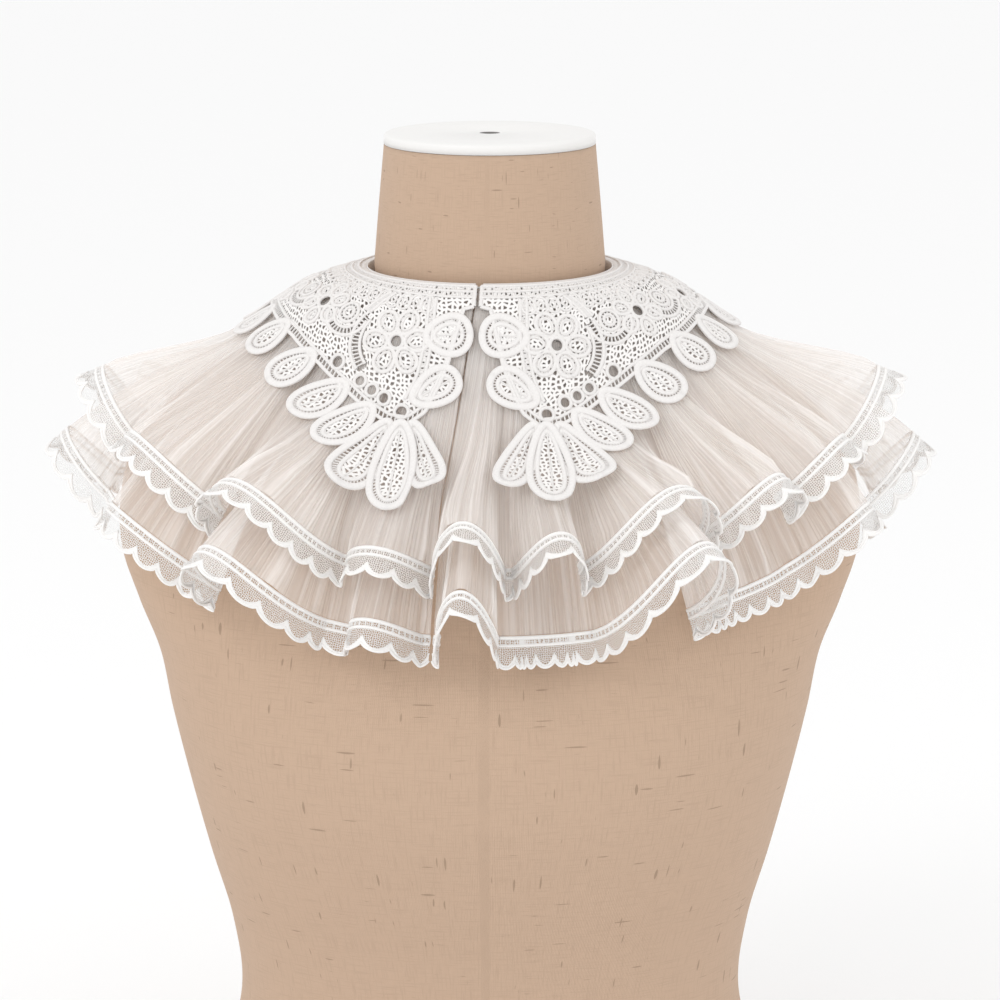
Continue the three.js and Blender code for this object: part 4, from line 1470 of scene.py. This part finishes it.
def neck_edge(cords, side):
    away = np.linspace(LACE_GAP + NECK_INSET, 180 - LACE_GAP - NECK_INSET, 220)
    for down, width in NECK_CORDS:
        sweep(cords, side, away, np.full_like(away, down), width, 1.4)
    rungs = np.arange(2, 178.5, NECK_TIE_STEP)
    for (low, _), (high, _), shift in zip(NECK_CORDS, NECK_CORDS[1:], (0, NECK_TIE_STEP / 2)):
        down = np.stack([np.full_like(rungs, low), np.full_like(rungs, high)], axis=1)
        ladder(cords, side, rungs[:, None] + shift + 0 * down, down, 1.0)
    for lobe in NECK_LOBES:
        oval(cords, side, (lobe, NECK_LOBE_DOWN), egg_ring(4.2, 3.4, 18, LOBE_EGG), 0, 1.4, 1.2)
        oval(cords, side, (lobe, NECK_LOBE_DOWN), egg_ring(1.9, 1.3, 10, 0), 0, 0.9, 0.9)


def ground_edge(cords, side):
    """The tied pair just inside the petals, and the upright ends of a half."""
    ends = (LACE_GAP + END_INSET, 180 - LACE_GAP - END_INSET)
    away = np.linspace(*ends, 300)
    hem = np.interp(away, HEM_AWAY, HEM_DOWN)
    sweep(cords, side, away, hem - BORDER_OUTER, 2.0, 1.5)
    broad_away, broad_hem = away[hem > BROAD], hem[hem > BROAD]
    sweep(cords, side, broad_away, broad_hem - BORDER_INNER, 1.7, 1.4)
    tied_away, tied_hem = broad_away[1::2], broad_hem[1::2]
    down = np.stack([tied_hem - BORDER_INNER, tied_hem - BORDER_OUTER], axis=1)
    ladder(cords, side, np.stack([tied_away, tied_away], axis=1), down)
    for end in ends:
        sweep(cords, side, np.full_like(END_CORD, end), END_CORD, 1.8, 1.4)


# %% [markdown]
# Under the cords lies the ground that they are worked on. It is one sheet: net between the motifs
# and inside the petals, and narrow plies hidden under the satin bands. Boolean cuts could open its
# holes. Leaving out the faces where only a motif's own ties cross is quicker and never fails.

# %% Fill the ground with net
NET_COLUMNS = 420
NET_ROWS = 90
NET_TOP = 0.6
NET_INSET = {"broad": 5, "narrow": 1}  # of the net's edge from the hem, hidden under its cords
HEM_PLY = np.array([[1.7, 0.3]])  # distances in from the hem
EYELET_CLEAR = 0.2  # how far the net keeps from an eyelet
FLOWER_OPEN = 3.2  # radius of a flower's open middle
PLY_POINTS = 32
PETAL_NET_SCALE = 1.05  # the net within a petal, against the net between the motifs


def open_places():
    """Where the ground has no net of its own: eyelets and the rings and arcs of HALOS."""
    spots = [(away, down, max(long, wide) / 2 + EYELET_CLEAR) for away, down, long, wide in EYELETS]
    spots += [(away, down, FLOWER_OPEN) for away, down, _, _ in FLOWERS]
    return [(away, down, 0, radius, -180, 180) for away, down, radius in spots] + HALOS


class Plies(Strands):
    """Flat pieces of one sheet, gathered as the cords are."""

    def ground(self, side):
        away = np.linspace(LACE_GAP, 180 - LACE_GAP, NET_COLUMNS)[:, None]
        share = np.linspace(0, 1, NET_ROWS)[None, :]
        hem = np.interp(away, HEM_AWAY, HEM_DOWN)
        edge = np.where(hem > BROAD, hem - NET_INSET["broad"], hem - NET_INSET["narrow"])
        down = NET_TOP + share * (edge - NET_TOP)
        points, _ = lace_place(side, away + 0 * share, down)
        radius = np.hypot(points[..., 0], points[..., 1])
        keep = np.ones(points.shape[:2], bool)
        for open_away, open_down, inner, outer, start, end in open_places():
            x, y = np.radians(away - open_away) * radius, down - open_down
            angle = np.degrees(np.arctan2(x, y))
            reach = np.hypot(x, y)
            keep &= (reach > outer) | (reach < inner) | (angle < start) | (angle > end)
        uvs = np.stack([np.radians(away) * radius / 10, down / 10 + 0 * away], axis=-1)
        quads = grid_quads(NET_COLUMNS, NET_ROWS)
        self.gather(points, quads[keep.reshape(-1)[quads].all(axis=1)], uvs)

    def hem_ply(self, side):
        away = np.linspace(LACE_GAP, 180 - LACE_GAP, NET_COLUMNS)[:, None]
        down = np.interp(away, HEM_AWAY, HEM_DOWN) - HEM_PLY
        points, _ = lace_place(side, away + 0 * down, down)
        uvs = np.stack([away / 10 + 0 * down, down / 10], axis=-1)
        self.gather(points, grid_quads(NET_COLUMNS, 2), uvs)

    def rings(self, side, place, rings, turn, rise=0.0):
        """A ply between the first and last of several rings of points, one inside another."""
        ring = np.stack(rings, axis=1)
        x, y = turned_xy(ring[..., 0], ring[..., 1], turn)
        points, _ = local_points(side, *place, x, y, rise)
        uvs = np.stack([x, y], axis=-1) / 10 * PETAL_NET_SCALE + np.array(place)
        self.gather(points, grid_quads(PLY_POINTS, len(rings), closed=True), uvs)


def ground_sheet(name, side):
    plies = Plies()
    plies.ground(side)
    plies.hem_ply(side)
    for away, down, long, wide, turn in PETALS:
        core = petal_ring(long, wide, CORE_INSET, PLY_POINTS)
        net = [core * share for share in (1, 0.75, 0.5, 0.25, 0.02)]
        band = [petal_ring(long, wide, inset, PLY_POINTS) for inset in (0.5, BAND_WIDTH - 0.5)]
        for rings in (net, band):
            plies.rings(side, (away, down), rings, turn, fan_rise(away))
    for row in FLOWERS:
        for place, half, turn in flower_petals(side, *row):
            lobe = [egg_ring(*(half - inset), PLY_POINTS, LOBE_EGG) for inset in (0.3, 1.7)]
            plies.rings(side, place, lobe, turn)
    return plies.build(name)


# %% [markdown]
# Now each half can be put together: one piece of cord over one sheet of ground. They could be a
# single mesh, but the ground is a sheet of its own, and the cords ride on it.
# The right half is drawn afresh with the side turned round, not flipped with a mirror modifier,
# because the ruffles under it are not the same on both sides.

# %% Assemble the two halves
EYELET_RIM = 0.7  # from an eyelet's edge to the middle of its cord


def lace_half(name, side, node_name):
    cords = Strands()
    for row in PETALS:
        big_petal(cords, side, *row)
    for row in FLOWERS:
        flower(cords, side, *row)
    for row in HALOS:
        halo(cords, side, *row)
    for route in RIBBONS:
        ribbon(cords, side, route)
    for away, down, long, wide in EYELETS:
        rim = egg_ring(long / 2 + EYELET_RIM, wide / 2 + EYELET_RIM, 18, 0)
        oval(cords, side, (away, down), rim, 0, 1.7, 1.5, 0.2)
    neck_edge(cords, side)
    ground_edge(cords, side)
    net = ground_sheet(name + "_ground", side)
    cord_piece = cords.build(name + "_cords")
    dress(net, GROUND_NET, "guipure", node_name)
    dress(cord_piece, THREAD, "guipure", node_name)


lace_half("lace_left", 1, "lace_collar_left")
lace_half("lace_right", -1, "lace_collar_right")

# %% [markdown]
# ## Neck band, hook and eye
#
# The band is a narrow folded strip that all the layers are sewn to. Its upper fold laps over their
# raw edges as a soft roll, so no slot shows between band and lace. Both are swept along a circle
# that stops short of the centre front, which is simpler than folding a strip of cloth.

# %% Neck band
BAND_OPENING = 1.7  # degrees from the closure to each end of the band
BAND_RADIUS, BAND_DEPTH, BAND_THICKNESS = 60.5, 8, 1.1
ROLL_RADIUS, ROLL_WIDTH, ROLL_THICKNESS = 62.5, 3.8, 1.7
ROLL_RISE = 3  # of the roll's middle over the seam's


def round_neck(radius, height):
    """A line round the neck from one end of the band to the other."""
    azimuth = np.linspace(LACE_CENTRE + BAND_OPENING, LACE_CENTRE + 360 - BAND_OPENING, 240)
    return polar(np.full_like(azimuth, radius), azimuth, np.full_like(azimuth, height))


def band():
    fold = round_neck(BAND_RADIUS, SEAM_HEIGHT)
    roll = round_neck(ROLL_RADIUS, SEAM_HEIGHT + ROLL_RISE)
    upward = np.tile([0.0, 0.0, 1.0], (len(roll), 1))
    cords = Strands()
    cords.add(fold, unit(fold * [1, 1, 0]), BAND_DEPTH, BAND_THICKNESS, sides=10)
    cords.add(roll, upward, ROLL_WIDTH, ROLL_THICKNESS, sides=10)
    dress(cords.build("folded_neck_band"), THREAD, "band", "neck_band")


band()

# %% [markdown]
# The band closes with a small hook and eye inside its ends. They hardly show, but the collar could
# not be worn without them. Each is one bent wire. A bevelled curve would do as well, but the cords'
# sweep is at hand. A few points along the wire are enough, with the bends rounded between them.

# %% Hook and eye
WIRE_WIDTH = 0.9
WIRE_STEPS = 40
WIRE_SMOOTHING = 3
# sideways from the front edge, upwards from the seam, and distance from the axis
HOOK = [(-10, 0, 59.2), (-6, 0, 59.1), (-4, 0, 58.2), (-2, 0, 57.9), (-0.6, 0, 58.2), (-0.2, 0, 59.2)]
EYE = [(7, 2.6, 59.2), (2, 2.3, 59.2), (-1.6, 1.4, 59.2), (-2.5, 0, 59.2)]
EYE += [(x, -z, depth) for x, z, depth in reversed(EYE[:-1])]


def closure_wire(name, route, node_name):
    """A wire bent along a route, with its corners rounded."""
    knots = np.array(route, float)
    share = np.linspace(0, 1, len(route))
    fine = np.linspace(0, 1, WIRE_STEPS)
    x, z, depth = (smoothed(np.interp(fine, share, knots[:, k]), WIRE_SMOOTHING) for k in range(3))
    line = polar(depth, LACE_CENTRE + np.degrees(x / depth), SEAM_HEIGHT + z)
    cords = Strands()
    cords.add(line, unit(line * [1, 1, 0]), WIRE_WIDTH, WIRE_WIDTH, sides=8)
    dress(cords.build(name), WIRE, "wire", node_name)


closure_wire("hook_wire", HOOK, "closure_hook")
closure_wire("eye_wire", EYE, "closure_eye")

# %% [markdown]
# ## Floor and light
#
# The form stands on a pale floor that runs far back, as on a paper roll in a studio. A curved
# backdrop would hide its own end, but with a pale sky behind it a flat floor does that too. It is
# half a millimetre lower than the form's underside, so that the two faces don't fight.

# %% Floor
FLOOR_HALF = 20000
FLOOR_DROP = -0.5

corners = [[x * FLOOR_HALF, y * FLOOR_HALF, FLOOR_DROP] for x, y in ((-1, -1), (1, -1), (1, 1), (-1, 1))]
floor = make_object("floor", corners, [[0, 1, 2, 3]], smooth=False)
floor_material, _, floor_shader = start_material("floor_paint", 0.9)
floor_shader.inputs["Base Color"].default_value = (0.93, 0.93, 0.93, 1)
floor.data.materials.append(floor_material)
floor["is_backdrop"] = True
print("floor", [round(d) for d in floor.dimensions], "m")

# %% [markdown]
# White lace on white chiffon is readable by its shadows only. A bright sky alone would fill them
# in, so a large soft lamp from the upper left draws them, and a weaker one from the right keeps
# them open. The Standard view leaves whites as they are, where a film-like view would grey them.
# Light has to pass many layers of net and chiffon, so it may go through 32 of them.

# %% Sky and lamps
SKY_STRENGTH = 1.02
LAMPS_AIM = (0, 0, 0.4)
# place in metres, size in metres and power in watts
LAMPS = {"key": ((-1.3, -1.5, 1.7), 0.8, 10), "fill": ((1.6, -1.0, 1.0), 1.2, 3)}


def area_lamp(name, place, size, power):
    data = bpy.data.lights.new(name, "AREA")
    data.size = size
    data.energy = power
    lamp = bpy.data.objects.new(name, data)
    lamp.location = place
    x, y, z = np.array(LAMPS_AIM) - np.array(place)
    lamp.rotation_euler = (math.atan2(math.hypot(x, y), -z), 0, math.atan2(y, x) - math.pi / 2)
    bpy.context.scene.collection.objects.link(lamp)


for name, (place, size, power) in LAMPS.items():
    area_lamp(name, place, size, power)
    print(name, "lamp:", power, "W")

world = bpy.data.worlds.new("soft_sky")
world.use_nodes = True
sky = world.node_tree.nodes["Background"]
sky.inputs["Color"].default_value = (1, 1, 1, 1)
sky.inputs["Strength"].default_value = SKY_STRENGTH
scene = bpy.context.scene
scene.world = world
scene.view_settings.view_transform = "Standard"
scene.cycles.transparent_max_bounces = 32

# %% [markdown]
# ## Finish
#
# Last, the outer box of all that was made is printed beside the CAD model's own, so that a reader
# can see that the dressed part is still the size of the solids. Measuring by eye in the viewport
# would miss a few millimetres.

# %% Finish
new_box = [list(map(float, corner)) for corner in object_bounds()]
print("size", [[round(v, 3) for v in corner] for corner in cad_box + new_box])
